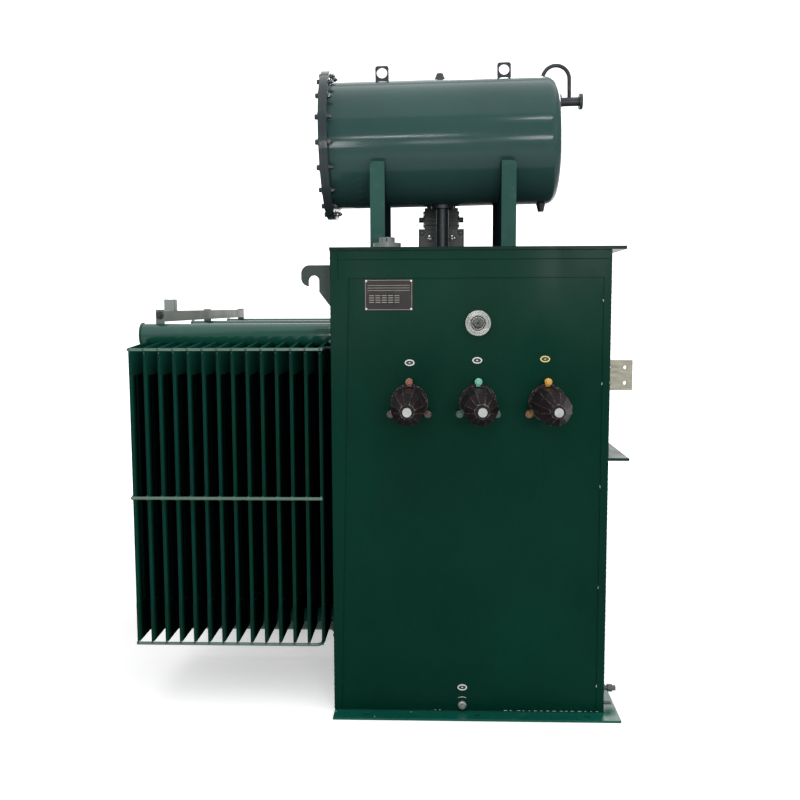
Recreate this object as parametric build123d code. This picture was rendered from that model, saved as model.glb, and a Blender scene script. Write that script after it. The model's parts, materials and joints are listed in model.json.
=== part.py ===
"""Oil-filled power transformer with a conservator, panel radiators and wall bushings.

Millimetres. The origin is the middle of the tank's footprint on the underside of the base plate.
+X runs to the low-voltage side, +Y from the bushing wall to the rear, +Z up.
"""
import math
import os

from build123d import *

# Tank, base plate and cover
TANK_WIDTH = 988.0
TANK_DEPTH = 2100.0
WALL_HEIGHT = 1682.0
WALL = 8.0
BASE_THICK = 8.0
BASE_FLANGE = 73.0
BASE_SIDE_FLANGE = 52.0
BASE_HOLE_R = 11.0
BASE_HOLE_PITCH = 400.0
BASE_HOLE_MIDDLE_X = 29.5
COVER_THICK = 12.0
COVER_LIP = 7.0
COVER_LEFT_LIP = 3.0
COVER_SIDE_LIP = 51.0
CORNER_STRIP = 65.0
CORNER_STRIP_FOOT = 26.0
RIGHT_STRIP = 26.0
RIM_BAND = 97.0
STRIP_THICK = 4.0
CLEAR = 0.2
OVERRUN = 20.0

# Core and windings inside the tank
CORE_CLEAR = 32.0
WINDING_GAP = 20.0
WINDING_HEIGHT = 900.0
YOKE_WIDTH = 300.0
YOKE_HEIGHT = 260.0

# High-voltage bushings on the front wall
BUSHING_PITCH = 244.0
BUSHING_MIDDLE_X = 29.0
BUSHING_Z = 1153.0
BUSHING_LENGTH = 318.0
BUSHING_FLANGE = 20.0
BUSHING_FLANGE_R = 66.0
BUSHING_BOLT_R = 76.0
BUSHING_ROOT_R = 64.0
BUSHING_ROOT_CORNER_SHARE = 0.14
BUSHING_NOSE_R = 63.0
BUSHING_NOSE_CORNER_SHARE = 0.24
BUSHING_CROWN = 64.0
BUSHING_TIP_R = 29.0
COLLAR_R = 24.0
COLLAR_LENGTH = 14.0
TERMINAL_R = 15.0
TERMINAL_LENGTH = 16.0
CLAMP_STUD_R = 9.0
CLAMP_STUD = 36.0
CLAMP_NUT_R = 13.0
CLAMP_NUT = 16.0
CLAMP_TIP_R = 8.0
CLAMP_TIP = 10.0
CLAW_WIDTH = 15.0
CLAW_THICK = 9.0
CLAW_REACH = 18.0

# Small fittings on the front wall
PORT_X = 28.0
PORT_Z = 1434.0
PORT_R = 45.0
PORT_THICK = 16.0
PORT_RECESS_R = 26.0
PORT_RECESS = 6.0
PORT_BOSS_R = 20.0
PORT_BOSS = 8.0
NAMEPLATE_WIDTH = 173.0
NAMEPLATE_HEIGHT = 112.0
NAMEPLATE_THICK = 3.0
NAMEPLATE_GAP = 55.0
NAMEPLATE_Z = 1534.0
EARTH_X = -23.0
EARTH_Z = 31.0
EARTH_PAD_R = 16.0
EARTH_PAD = 8.0
EARTH_BOLT_R = 9.0
EARTH_BOLT = 22.0

# Low-voltage side
LV_Z = 1227.0
LV_END_INSET = 300.0
LV_COUNT = 4
LV_PANEL_HEIGHT = 260.0
LV_PANEL_MARGIN = 120.0
LV_PANEL_THICK = 12.0
FLAG_HEIGHT = 117.0
FLAG_THICK = 12.0
FLAG_REACH = 131.0
FLAG_HOLE_PITCH = 60.0
FLAG_HOLE_R = 7.0
FLAG_HOLE_EDGE = 28.6
SHELF_Z = 927.0
SHELF_REACH = 109.0
SHELF_INSET = 150.0
SHELF_THICK = 11.0
SHELF_ROUND = 4.0
SHELF_RIB = 6.0
SHELF_RIB_COUNT = 4
SHELF_RIB_DROP = 80.0
DRAIN_INSET = 100.0
DRAIN_Z = 59.0
DRAIN_PIPE_R = 9.0
DRAIN_PIPE = 32.0
DRAIN_FLANGE_R = 14.0
DRAIN_FLANGE = 18.0
DRAIN_PLUG_R = 10.0
DRAIN_PLUG = 12.0
SIDE_STUD_INSET = 30.0
SIDE_STUD_Z = 31.5
SIDE_STUD_R = 7.0
SIDE_STUD = 33.0

# Lifting hooks on the side walls
HOOK_REACH = 116.5
HOOK_TOP_Z = 1644.0
HOOK_HEIGHT = 165.0
HOOK_THICK = 20.0
HOOK_THROAT_R = 20.0
HOOK_THROAT_X = 71.0
HOOK_THROAT_DROP = 57.0
HOOK_ROUND = 30.0
HOOK_LEFT_INSET = 100.0
HOOK_RIGHT_Y = 300.0

# Panel radiators on the left wall
RADIATOR_COUNT = 3
RADIATOR_INSET = 290.0
PANEL_COUNT = 14
PANEL_PITCH = 53.5
PANEL_WIDTH = 520.0
PANEL_THICK = 11.0
PANEL_SEAM = 2.6
FLUTE_COUNT = 7
FLUTE_LAND_SHARE = 0.18
FLUTE_RAMP_SHARE = 0.14
PANEL_INNER_GAP = 45.5
PANEL_SHOULDER = 39.0
PANEL_SHOULDER_RISE = 16.0
PANEL_FOOT = 7.0
PANEL_ZONE = 138.0
HEADER_Z = 1385.0
HEADER_CENTRES = 1132.0
HEADER_R = 44.5
HEADER_WALL = 4.0
HEADER_CAP_R = 49.0
HEADER_CAP = 6.0
HEADER_OVERHANG = 23.0
FLANGE_R = 80.0
FLANGE_THICK = 16.0
TOP_BAR_DEPTH = 5.0
TOP_BAR_HEIGHT = 10.0
ROD_R = 6.0
ROD_BEND_R = 24.0
MID_ROD_Z = 795.0

# Tie beam over the headers
BEAM_X = -1184.0
BEAM_RISE = 8.0
BEAM_HEIGHT = 42.0
BEAM_THICK = 8.0
BRACKET_WIDTH = 32.0
BRACKET_THICK = 10.0
BRACKET_LIP = 5.0
BEAM_BOX_WIDTH = 45.0
BEAM_BOX_HEIGHT = 42.0
BEAM_BOX_DEPTH = 40.0
BEAM_BOX_STEP = 160.0
BEAM_BOX_SHIFT = 15.0

# Conservator across the bushing end of the cover
CONSERVATOR_X = -113.0
CONSERVATOR_INSET = 390.0
CONSERVATOR_Z = 2120.0
CONSERVATOR_R = 238.0
CONSERVATOR_LENGTH = 830.0
CONSERVATOR_WALL = 5.0
CONSERVATOR_TILT = 1.0
KNUCKLE_R = 38.0
CROWN_RISE = 12.0
END_FLANGE_R = 281.0
END_FLANGE = 14.0
END_COVER = 18.0
END_RIM = 6.0
LUG_X = 235.0
LUG_SHIFT = 25.0
LUG_WIDTH = 52.0
LUG_HEIGHT = 62.0
LUG_THICK = 12.0
LUG_HOLE_R = 20.0
LUG_ROUND = 9.0
FILLER_X = 13.0
FILLER_R = 24.0
FILLER_TOP_R = 12.0
FILLER_HEIGHT = 28.0
BREATHER_INSET = 8.0
BREATHER_R = 7.5
BREATHER_BEND_R = 51.0
BREATHER_SINK = 6.0
STUB_Z = 146.0
STUB_R = 17.0
STUB_LENGTH = 143.0
STUB_FLANGE_R = 30.0
STUB_FLANGE = 12.0
SUMP_INSET = 18.0
SUMP_R = 18.0
SUMP_TIP_R = 11.0
SUMP_DROP = 30.0

# Conservator supports, pipe and relay
SUPPORT_LEFT = 221.0
SUPPORT_RIGHT = 258.0
SUPPORT_WIDTH = 54.0
SUPPORT_TOP_Z = 2020.0
SUPPORT_PLATE = 6.0
SUPPORT_GAP = 12.0
SUPPORT_ROUND = 16.0
PIPE_STEP = 19.0
PIPE_R = 24.0
PIPE_FLANGE_R = 44.0
PIPE_FLANGE = 10.0
RELAY_STEP = 16.0
RELAY_BEHIND = 210.0
RELAY_WIDTH = 184.0
RELAY_DEPTH = 150.0
RELAY_BASE = 104.0
RELAY_HEAD_WIDTH = 136.0
RELAY_HEAD_DEPTH = 110.0
RELAY_HEAD = 86.0
RELAY_FIN_COUNT = 5
RELAY_FIN = 6.0
RELAY_GLASS_R = 15.0
RELAY_GLASS = 8.0
RELAY_GLASS_X = 46.0
RELAY_GLASS_Z = 70.0
RELAY_EAR_R = 11.0
RELAY_EAR = 24.0
RELAY_PLUG_R = 13.0
RELAY_PLUG = 16.0
RELIEF_STEP = 183.0
RELIEF_INSET = 75.0
RELIEF_R = 50.0
RELIEF_BASE = 18.0
RELIEF_TOP_R = 28.0
RELIEF_HEIGHT = 38.0

# Levels and faces that several pieces share
WALL_FOOT_Z = BASE_THICK
COVER_Z = WALL_FOOT_Z + WALL_HEIGHT
COVER_TOP_Z = COVER_Z + COVER_THICK
FRONT_Y = -TANK_DEPTH / 2
LEFT_X = -TANK_WIDTH / 2
RIGHT_X = TANK_WIDTH / 2
PANEL_FIRST_X = LEFT_X - PANEL_INNER_GAP
PANEL_LAST_X = PANEL_FIRST_X - PANEL_PITCH * (PANEL_COUNT - 1)
HEADER_FOOT_Z = HEADER_Z - HEADER_CENTRES
PANEL_TOP_Z = HEADER_Z - PANEL_SHOULDER
PANEL_FOOT_Z = HEADER_FOOT_Z - PANEL_FOOT
RADIATOR_PITCH = (TANK_DEPTH - 2 * RADIATOR_INSET) / (RADIATOR_COUNT - 1)
LIMB_PITCH = (TANK_DEPTH - 2 * (WALL + CORE_CLEAR) + WINDING_GAP) / 3
WINDING_R = (LIMB_PITCH - WINDING_GAP) / 2
LV_PITCH = (TANK_DEPTH - 2 * LV_END_INSET) / (LV_COUNT - 1)
CONSERVATOR_Y = FRONT_Y + CONSERVATOR_INSET
CONSERVATOR_END = CONSERVATOR_LENGTH / 2
DISH_DEPTH = KNUCKLE_R + CROWN_RISE


def save(part, name):
    """Write one node, a single solid or several that stand apart."""
    solids = part.solids() if hasattr(part, "solids") else part
    shape = solids[0] if len(solids) == 1 else Compound(children=list(solids))
    export_step(shape, f"parts/{name}.step")


def block(x0, x1, y0, y1, z0, z1):
    """Box between two corners."""
    middle = ((x0 + x1) / 2, (y0 + y1) / 2, (z0 + z1) / 2)
    return Pos(*middle) * Box(x1 - x0, y1 - y0, z1 - z0)


def rod(start, end, radius):
    """Round bar between two points."""
    line = Line(start, end)
    return sweep(Plane(line @ 0, z_dir=line % 0) * Circle(radius), path=line)


def turned(points):
    """Solid of revolution from (radius, height) corners round the local Z axis."""
    corners = [(radius, 0, height) for radius, height in points]
    return revolve(make_face(Polyline(*corners, close=True)), axis=Axis.Z)


def facing_front(x, z):
    """Local Z out of the front wall, towards the viewer."""
    return Location(Plane((x, FRONT_Y, z), x_dir=(1, 0, 0), z_dir=(0, -1, 0)))


def facing_right(y, z):
    """Local Z out of the right wall."""
    return Location(Plane((RIGHT_X, y, z), x_dir=(0, 1, 0), z_dir=(1, 0, 0)))


def base_plate():
    """Bottom plate with bolt holes in its front and rear flanges."""
    half = TANK_DEPTH / 2 + BASE_FLANGE
    plate = block(LEFT_X, RIGHT_X + BASE_SIDE_FLANGE, -half, half, 0, BASE_THICK)
    for row_y in (-half + BASE_FLANGE / 2, half - BASE_FLANGE / 2):
        for step in (-1, 0, 1):
            centre = Pos(BASE_HOLE_MIDDLE_X + step * BASE_HOLE_PITCH, row_y, BASE_THICK / 2)
            plate -= centre * Cylinder(BASE_HOLE_R, BASE_THICK + OVERRUN)
    return plate


def tank_walls():
    """Four wall plates; the side walls stand between the end walls."""
    inner = TANK_DEPTH / 2 - WALL
    return {
        "front_wall": block(LEFT_X, RIGHT_X, FRONT_Y, FRONT_Y + WALL, WALL_FOOT_Z, COVER_Z),
        "rear_wall": block(LEFT_X, RIGHT_X, -FRONT_Y - WALL, -FRONT_Y, WALL_FOOT_Z, COVER_Z),
        "left_wall": block(LEFT_X, LEFT_X + WALL, -inner, inner, WALL_FOOT_Z, COVER_Z),
        "right_wall": block(RIGHT_X - WALL, RIGHT_X, -inner, inner, WALL_FOOT_Z, COVER_Z),
    }


def cover():
    """Top plate, with its wide lip on the low-voltage side."""
    half = TANK_DEPTH / 2 + COVER_LIP
    return block(LEFT_X - COVER_LEFT_LIP, RIGHT_X + COVER_SIDE_LIP, -half, half, COVER_Z, COVER_TOP_Z)


def core_and_windings():
    """Three-limb core: two yokes joined by three round windings, standing on the base plate."""
    half = LIMB_PITCH + WINDING_R
    top_z = WALL_FOOT_Z + YOKE_HEIGHT + WINDING_HEIGHT
    core = block(-YOKE_WIDTH / 2, YOKE_WIDTH / 2, -half, half, WALL_FOOT_Z, WALL_FOOT_Z + YOKE_HEIGHT)
    core += block(-YOKE_WIDTH / 2, YOKE_WIDTH / 2, -half, half, top_z, top_z + YOKE_HEIGHT)
    middle_z = WALL_FOOT_Z + YOKE_HEIGHT + WINDING_HEIGHT / 2
    for step in (-1, 0, 1):
        core += Pos(0, step * LIMB_PITCH, middle_z) * Cylinder(WINDING_R, WINDING_HEIGHT)
    return core


def front_frame():
    """Edge strips welded on the front wall: a deep rim band and two corner strips, the left one tapered."""
    outline = Pos(0, WALL_HEIGHT / 2) * Rectangle(TANK_WIDTH, WALL_HEIGHT)
    window_top = WALL_HEIGHT - RIM_BAND
    corners = [
        (LEFT_X + CORNER_STRIP_FOOT, 0),
        (RIGHT_X - RIGHT_STRIP, 0),
        (RIGHT_X - RIGHT_STRIP, window_top),
        (LEFT_X + CORNER_STRIP, window_top),
    ]
    window = make_face(Polyline(*corners, close=True))
    return extrude(facing_front(0, WALL_FOOT_Z) * (outline - window), STRIP_THICK)


def chamfered_hexagon(radius, corner_share):
    """Hexagon with a flat on top, its corners cut back by a share of a side."""
    hexagon = RegularPolygon(radius, side_count=6)
    return chamfer(hexagon.vertices(), radius * corner_share)


def bushing():
    """Bushing on its local Z axis: a round flange, a six-sided body, a faceted crown and a collar."""
    nose_z = BUSHING_LENGTH - COLLAR_LENGTH - BUSHING_CROWN
    root = Pos(0, 0, BUSHING_FLANGE) * chamfered_hexagon(BUSHING_ROOT_R, BUSHING_ROOT_CORNER_SHARE)
    nose = Pos(0, 0, nose_z) * chamfered_hexagon(BUSHING_NOSE_R, BUSHING_NOSE_CORNER_SHARE)
    tip_z = nose_z + BUSHING_CROWN
    tip = Pos(0, 0, tip_z) * chamfered_hexagon(BUSHING_TIP_R, BUSHING_NOSE_CORNER_SHARE)
    body = Pos(0, 0, BUSHING_FLANGE / 2) * Cylinder(BUSHING_FLANGE_R, BUSHING_FLANGE)
    body += loft([root, nose], ruled=True)
    body += loft([nose, tip], ruled=True)
    body += Pos(0, 0, tip_z + COLLAR_LENGTH / 2) * Cylinder(COLLAR_R, COLLAR_LENGTH)
    return body


def bushing_terminal():
    """Round terminal end on the nose of a bushing."""
    return Pos(0, 0, BUSHING_LENGTH + TERMINAL_LENGTH / 2) * Cylinder(TERMINAL_R, TERMINAL_LENGTH)


def bushing_clamps():
    """Three studs round a bushing flange, each with a nut and a claw that holds the flange down."""
    nut_z = CLAMP_STUD + CLAMP_NUT
    profile = [
        (0, 0),
        (CLAMP_STUD_R, 0),
        (CLAMP_STUD_R, CLAMP_STUD),
        (CLAMP_NUT_R, CLAMP_STUD),
        (CLAMP_NUT_R, nut_z),
        (CLAMP_TIP_R, nut_z),
        (CLAMP_TIP_R, nut_z + CLAMP_TIP),
        (0, nut_z + CLAMP_TIP),
    ]
    claw = Pos(-CLAW_REACH / 2, 0, BUSHING_FLANGE + CLAW_THICK / 2) * Box(CLAW_REACH, CLAW_WIDTH, CLAW_THICK)
    clamp = turned(profile) + claw
    return [Rot(0, 0, angle) * Pos(BUSHING_BOLT_R, 0, 0) * clamp for angle in (90, 210, 330)]


def oil_port():
    """Turned blanking flange with a recessed face and a middle boss."""
    profile = [
        (0, 0),
        (PORT_R, 0),
        (PORT_R, PORT_THICK),
        (PORT_RECESS_R, PORT_THICK),
        (PORT_RECESS_R - PORT_RECESS / 2, PORT_THICK - PORT_RECESS),
        (PORT_BOSS_R, PORT_THICK - PORT_RECESS),
        (PORT_BOSS_R, PORT_THICK - PORT_RECESS + PORT_BOSS),
        (0, PORT_THICK - PORT_RECESS + PORT_BOSS),
    ]
    return facing_front(PORT_X, PORT_Z) * turned(profile)


def nameplate():
    """Plain rating plate on the front wall."""
    middle_x = LEFT_X + CORNER_STRIP + NAMEPLATE_GAP + NAMEPLATE_WIDTH / 2
    plate = facing_front(middle_x, NAMEPLATE_Z) * Rectangle(NAMEPLATE_WIDTH, NAMEPLATE_HEIGHT)
    return extrude(plate, NAMEPLATE_THICK)


def earth_stud():
    """Earthing pad and bolt near the foot of the front wall."""
    profile = [
        (0, 0),
        (EARTH_PAD_R, 0),
        (EARTH_PAD_R, EARTH_PAD),
        (EARTH_BOLT_R, EARTH_PAD),
        (EARTH_BOLT_R, EARTH_BOLT),
        (0, EARTH_BOLT),
    ]
    return facing_front(EARTH_X, EARTH_Z) * turned(profile)


def lv_panel():
    """Insulating panel on the right wall that carries the terminal flags."""
    length = LV_PITCH * (LV_COUNT - 1) + LV_PANEL_MARGIN * 2
    return extrude(facing_right(0, LV_Z) * Rectangle(length, LV_PANEL_HEIGHT), LV_PANEL_THICK)


def lv_flags():
    """Upright terminal flags, each with four bolt holes."""
    plate = Pos(FLAG_REACH / 2, 0) * Rectangle(FLAG_REACH, FLAG_HEIGHT)
    holes_x = FLAG_REACH - FLAG_HOLE_EDGE - FLAG_HOLE_PITCH / 2
    plate -= Pos(holes_x, 0) * GridLocations(FLAG_HOLE_PITCH, FLAG_HOLE_PITCH, 2, 2) * Circle(FLAG_HOLE_R)
    flags = []
    for index in range(LV_COUNT):
        y = LV_PITCH * (index - (LV_COUNT - 1) / 2)
        face = Location(Plane((RIGHT_X + LV_PANEL_THICK, y, LV_Z), x_dir=(1, 0, 0), z_dir=(0, -1, 0)))
        flags.append(extrude(face * plate, FLAG_THICK / 2, both=True))
    return flags


def side_shelf():
    """Shelf with a rounded edge along the right wall, on triangular ribs."""
    half = TANK_DEPTH / 2 - SHELF_INSET
    shelf = block(RIGHT_X, RIGHT_X + SHELF_REACH, -half, half, SHELF_Z - SHELF_THICK, SHELF_Z)
    shelf = fillet(shelf.edges().filter_by(Axis.Y).group_by(Axis.X)[-1], SHELF_ROUND)
    under_z = SHELF_Z - SHELF_THICK
    for index in range(SHELF_RIB_COUNT):
        y = -half + (index + 0.5) * 2 * half / SHELF_RIB_COUNT
        corners = [(0, 0), (SHELF_REACH - SHELF_ROUND, 0), (0, -SHELF_RIB_DROP)]
        face = Location(Plane((RIGHT_X, y, under_z), x_dir=(1, 0, 0), z_dir=(0, -1, 0)))
        shelf += extrude(face * make_face(Polyline(*corners, close=True)), SHELF_RIB / 2, both=True)
    return shelf


def drain_valve():
    """Short drain pipe with a nut and a plug, low on the right wall, and a stud below it."""
    face_z = DRAIN_PIPE + DRAIN_FLANGE
    profile = [
        (0, 0),
        (DRAIN_PIPE_R, 0),
        (DRAIN_PIPE_R, DRAIN_PIPE),
        (DRAIN_FLANGE_R, DRAIN_PIPE),
        (DRAIN_FLANGE_R, face_z),
        (DRAIN_PLUG_R, face_z),
        (DRAIN_PLUG_R, face_z + DRAIN_PLUG),
        (0, face_z + DRAIN_PLUG),
    ]
    stud = Pos(0, 0, SIDE_STUD / 2) * Cylinder(SIDE_STUD_R, SIDE_STUD)
    return [
        facing_right(FRONT_Y + DRAIN_INSET, DRAIN_Z) * turned(profile),
        facing_right(FRONT_Y + SIDE_STUD_INSET, SIDE_STUD_Z) * stud,
    ]


def hook_plate():
    """Hook outline: X out from the wall, Y up, with the top edge at zero and an open throat below."""
    throat_left = HOOK_THROAT_X - HOOK_THROAT_R
    outline = Polyline(
        (0, 0),
        (HOOK_REACH, 0),
        (HOOK_REACH, -HOOK_THROAT_DROP - HOOK_THROAT_R),
        (throat_left, -HOOK_THROAT_DROP - HOOK_THROAT_R),
        (throat_left, -HOOK_THROAT_DROP - 2 * HOOK_THROAT_R),
        (0, -HOOK_HEIGHT),
        close=True,
    )
    plate = make_face(outline)
    outer = plate.vertices().sort_by(Axis.X)[-2:]
    plate = fillet(outer, HOOK_ROUND)
    throat = Pos(HOOK_THROAT_X, -HOOK_THROAT_DROP) * Circle(HOOK_THROAT_R)
    mouth_y = -HOOK_THROAT_DROP - HOOK_HEIGHT / 2
    mouth = Pos(HOOK_THROAT_X, mouth_y) * Rectangle(2 * HOOK_THROAT_R, HOOK_HEIGHT)
    return plate - throat - mouth


def lifting_hooks():
    """Four hook plates, two on each side wall."""
    plate = hook_plate()
    hooks = []
    left_y = TANK_DEPTH / 2 - HOOK_LEFT_INSET
    for side, edge_x, spread in ((-1, LEFT_X, left_y), (1, RIGHT_X, HOOK_RIGHT_Y)):
        for y in (-spread, spread):
            face = Plane((edge_x, y, HOOK_TOP_Z), x_dir=(side, 0, 0), z_dir=(0, -side, 0))
            hooks.append(extrude(Location(face) * plate, HOOK_THICK / 2, both=True))
    return hooks


def panel_section():
    """Cross-section of a pressed radiator panel: flutes along Y, thickness along X."""
    flute = PANEL_WIDTH / FLUTE_COUNT
    land = flute * FLUTE_LAND_SHARE / 2
    ramp = flute * FLUTE_RAMP_SHARE
    edge_x, crest_x = PANEL_SEAM / 2, PANEL_THICK / 2
    side = [(edge_x, -PANEL_WIDTH / 2)]
    for index in range(FLUTE_COUNT):
        start = -PANEL_WIDTH / 2 + index * flute
        side.append((edge_x, start + land))
        side.append((crest_x, start + land + ramp))
        side.append((crest_x, start + flute - land - ramp))
        side.append((edge_x, start + flute - land))
    side.append((edge_x, PANEL_WIDTH / 2))
    mirrored = [(-x, y) for x, y in reversed(side)]
    return make_face(Polyline(*side, *mirrored, close=True))


def panel():
    """One radiator panel: fluted between flat ends, sloped up to the top header and notched round both."""
    top_z = PANEL_TOP_Z + PANEL_SHOULDER_RISE
    plate = Pos(0, 0, PANEL_FOOT_Z) * extrude(panel_section(), top_z - PANEL_FOOT_Z)
    half = PANEL_WIDTH / 2
    flat = half - PANEL_THICK
    for low, high in ((PANEL_FOOT_Z, HEADER_FOOT_Z + PANEL_ZONE), (HEADER_Z - PANEL_ZONE, top_z)):
        plate += block(-PANEL_THICK / 2, PANEL_THICK / 2, -flat, flat, low, high)
    for side in (-1, 1):
        corners = [
            (side * half, PANEL_TOP_Z),
            (side * half, top_z + OVERRUN),
            (0, top_z + OVERRUN),
            (0, top_z),
        ]
        face = Plane.YZ * make_face(Polyline(*corners, close=True))
        plate -= extrude(face, PANEL_THICK, both=True)
    for z in (HEADER_Z, HEADER_FOOT_Z):
        plate -= Pos(0, 0, z) * Rot(0, 90, 0) * Cylinder(HEADER_R + CLEAR, PANEL_THICK + OVERRUN)
    return plate


def radiator_panels(y):
    """A row of like panels across the headers."""
    one = panel()
    return [Pos(PANEL_FIRST_X - index * PANEL_PITCH, y, 0) * one for index in range(PANEL_COUNT)]


def radiator_headers(y):
    """Top and bottom collector pipes, closed by a disc at the outer end."""
    outer_x = PANEL_LAST_X - HEADER_OVERHANG
    length = LEFT_X - FLANGE_THICK - outer_x
    profile = [
        (0, -HEADER_CAP),
        (HEADER_CAP_R, -HEADER_CAP),
        (HEADER_CAP_R, 0),
        (HEADER_R, 0),
        (HEADER_R, length),
        (HEADER_R - HEADER_WALL, length),
        (HEADER_R - HEADER_WALL, 0),
        (0, 0),
    ]
    pipe = turned(profile)
    return [Pos(outer_x, y, z) * Rot(0, 90, 0) * pipe for z in (HEADER_Z, HEADER_FOOT_Z)]


def radiator_bars(y):
    """Spacer bars round the panel pack: a flat top loop, a middle rod pair and a loop under the panels."""
    start_x = PANEL_LAST_X - PANEL_THICK / 2
    end_x = PANEL_FIRST_X + PANEL_THICK / 2 + CLEAR
    half = PANEL_WIDTH / 2
    inner, outer = half + CLEAR, half + CLEAR + TOP_BAR_DEPTH
    low, high = PANEL_TOP_Z - TOP_BAR_HEIGHT, PANEL_TOP_Z
    top = block(start_x, end_x + TOP_BAR_DEPTH, y - outer, y - inner, low, high)
    top += block(start_x, end_x + TOP_BAR_DEPTH, y + inner, y + outer, low, high)
    top += block(end_x, end_x + TOP_BAR_DEPTH, y - outer, y + outer, low, high)
    top -= Pos(end_x, y, HEADER_Z) * Rot(0, 90, 0) * Cylinder(HEADER_R + CLEAR, TANK_WIDTH)
    reach = half + CLEAR + ROD_R
    rods = [rod((start_x, y + side * reach, MID_ROD_Z), (end_x, y + side * reach, MID_ROD_Z), ROD_R)
            for side in (-1, 1)]
    foot_z = PANEL_FOOT_Z - CLEAR - ROD_R
    loop_x, loop_y = PANEL_FIRST_X - PANEL_THICK / 2, half - ROD_R
    route = FilletPolyline(
        (start_x, y - loop_y, foot_z),
        (loop_x, y - loop_y, foot_z),
        (loop_x, y + loop_y, foot_z),
        (start_x, y + loop_y, foot_z),
        radius=ROD_BEND_R,
    )
    loop = sweep(Plane(route @ 0, z_dir=route % 0) * Circle(ROD_R), path=route)
    loop -= Pos(end_x, y, HEADER_FOOT_Z) * Rot(0, 90, 0) * Cylinder(HEADER_R + CLEAR, TANK_WIDTH)
    return [top, *rods, *loop.solids()]


def radiator_flanges(places):
    """Flanges on the left wall where the headers enter the tank."""
    discs = []
    for y in places:
        for z in (HEADER_Z, HEADER_FOOT_Z):
            centre = Pos(LEFT_X - FLANGE_THICK / 2, y, z)
            discs.append(centre * Rot(0, 90, 0) * Cylinder(FLANGE_R, FLANGE_THICK))
    return discs


def tie_beam(places):
    """Flat beam between upright plates that stand on the headers."""
    foot_z = HEADER_Z + HEADER_R + BEAM_RISE
    top_z = foot_z + BEAM_HEIGHT
    face_x = BEAM_X + BEAM_THICK
    beam = block(BEAM_X, face_x, places[0], places[-1], foot_z, top_z)
    for y in places:
        low, high = y - BRACKET_THICK / 2, y + BRACKET_THICK / 2
        beam += block(face_x - BRACKET_WIDTH, face_x, low, high, HEADER_Z, top_z + BRACKET_LIP)
        beam -= Pos(BEAM_X, y, HEADER_Z) * Rot(0, 90, 0) * Cylinder(HEADER_R + CLEAR, TANK_WIDTH)
    return beam


def beam_box(first_y):
    """Small terminal box on the tie beam, behind its first bracket."""
    foot_z = HEADER_Z + HEADER_R + BEAM_RISE + BEAM_HEIGHT
    middle_x = BEAM_X + BEAM_THICK / 2 - BEAM_BOX_SHIFT
    middle_y = first_y + BEAM_BOX_STEP
    box = block(middle_x - BEAM_BOX_WIDTH / 2, middle_x + BEAM_BOX_WIDTH / 2,
                middle_y - BEAM_BOX_DEPTH / 2, middle_y + BEAM_BOX_DEPTH / 2,
                foot_z, foot_z + BEAM_BOX_HEIGHT)
    return fillet(box.edges().filter_by(Axis.Z), BEAM_BOX_DEPTH / 8)


def in_conservator():
    """Conservator frame: local X along its sloping axis, from the middle of the shell."""
    return Pos(CONSERVATOR_X, CONSERVATOR_Y, CONSERVATOR_Z) * Rot(0, -CONSERVATOR_TILT, 0)


def head_arcs(grow):
    """Knuckle and crown of the dished end, from the shell line to the axis, grown by a length."""
    shoulder_r = CONSERVATOR_R - KNUCKLE_R
    knuckle = KNUCKLE_R + grow
    shoulder_x = CONSERVATOR_END + knuckle
    turn = knuckle * math.sqrt(0.5)
    crown_r = (shoulder_r ** 2 + CROWN_RISE ** 2) / (2 * CROWN_RISE)
    crown_x = shoulder_x + CROWN_RISE
    half_angle = math.asin(shoulder_r / crown_r) / 2
    crown_middle_x = crown_x - crown_r * (1 - math.cos(half_angle))
    return [
        ThreePointArc(
            (CONSERVATOR_R + grow, 0, CONSERVATOR_END),
            (shoulder_r + turn, 0, CONSERVATOR_END + turn),
            (shoulder_r, 0, shoulder_x),
        ),
        ThreePointArc(
            (shoulder_r, 0, shoulder_x),
            (crown_r * math.sin(half_angle), 0, crown_middle_x),
            (0, 0, crown_x),
        ),
    ]


def vessel(grow):
    """Solid form of the shell and its dished end along local X, grown by a length."""
    arcs = head_arcs(grow)
    radius = CONSERVATOR_R + grow
    barrel = Polyline(
        arcs[-1] @ 1,
        (0, 0, -CONSERVATOR_END),
        (radius, 0, -CONSERVATOR_END),
        (radius, 0, CONSERVATOR_END),
    )
    section = make_face([*barrel.edges(), *arcs])
    return Rot(0, 90, 0) * revolve(section, axis=Axis.Z)


def conservator_shell():
    """Rolled shell with a bolting flange at the left and a dished right end, hollow inside."""
    flange = Pos(-CONSERVATOR_END + END_FLANGE / 2, 0, 0) * Rot(0, 90, 0) * Cylinder(END_FLANGE_R, END_FLANGE)
    return in_conservator() * (vessel(0) + flange - vessel(-CONSERVATOR_WALL))


def conservator_cover():
    """Bolted end cover with a raised rim."""
    half = CONSERVATOR_END
    profile = [
        (0, -half - END_COVER + END_RIM),
        (CONSERVATOR_R, -half - END_COVER + END_RIM),
        (CONSERVATOR_R, -half - END_COVER),
        (END_FLANGE_R, -half - END_COVER),
        (END_FLANGE_R, -half),
        (0, -half),
    ]
    return in_conservator() * Rot(0, 90, 0) * turned(profile)


def shell_cutter(extra):
    """Cylinder a clearance larger than the conservator shell, for pieces that seat on it."""
    radius = CONSERVATOR_R + extra
    return in_conservator() * Rot(0, 90, 0) * Cylinder(radius, CONSERVATOR_LENGTH * 2)


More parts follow.
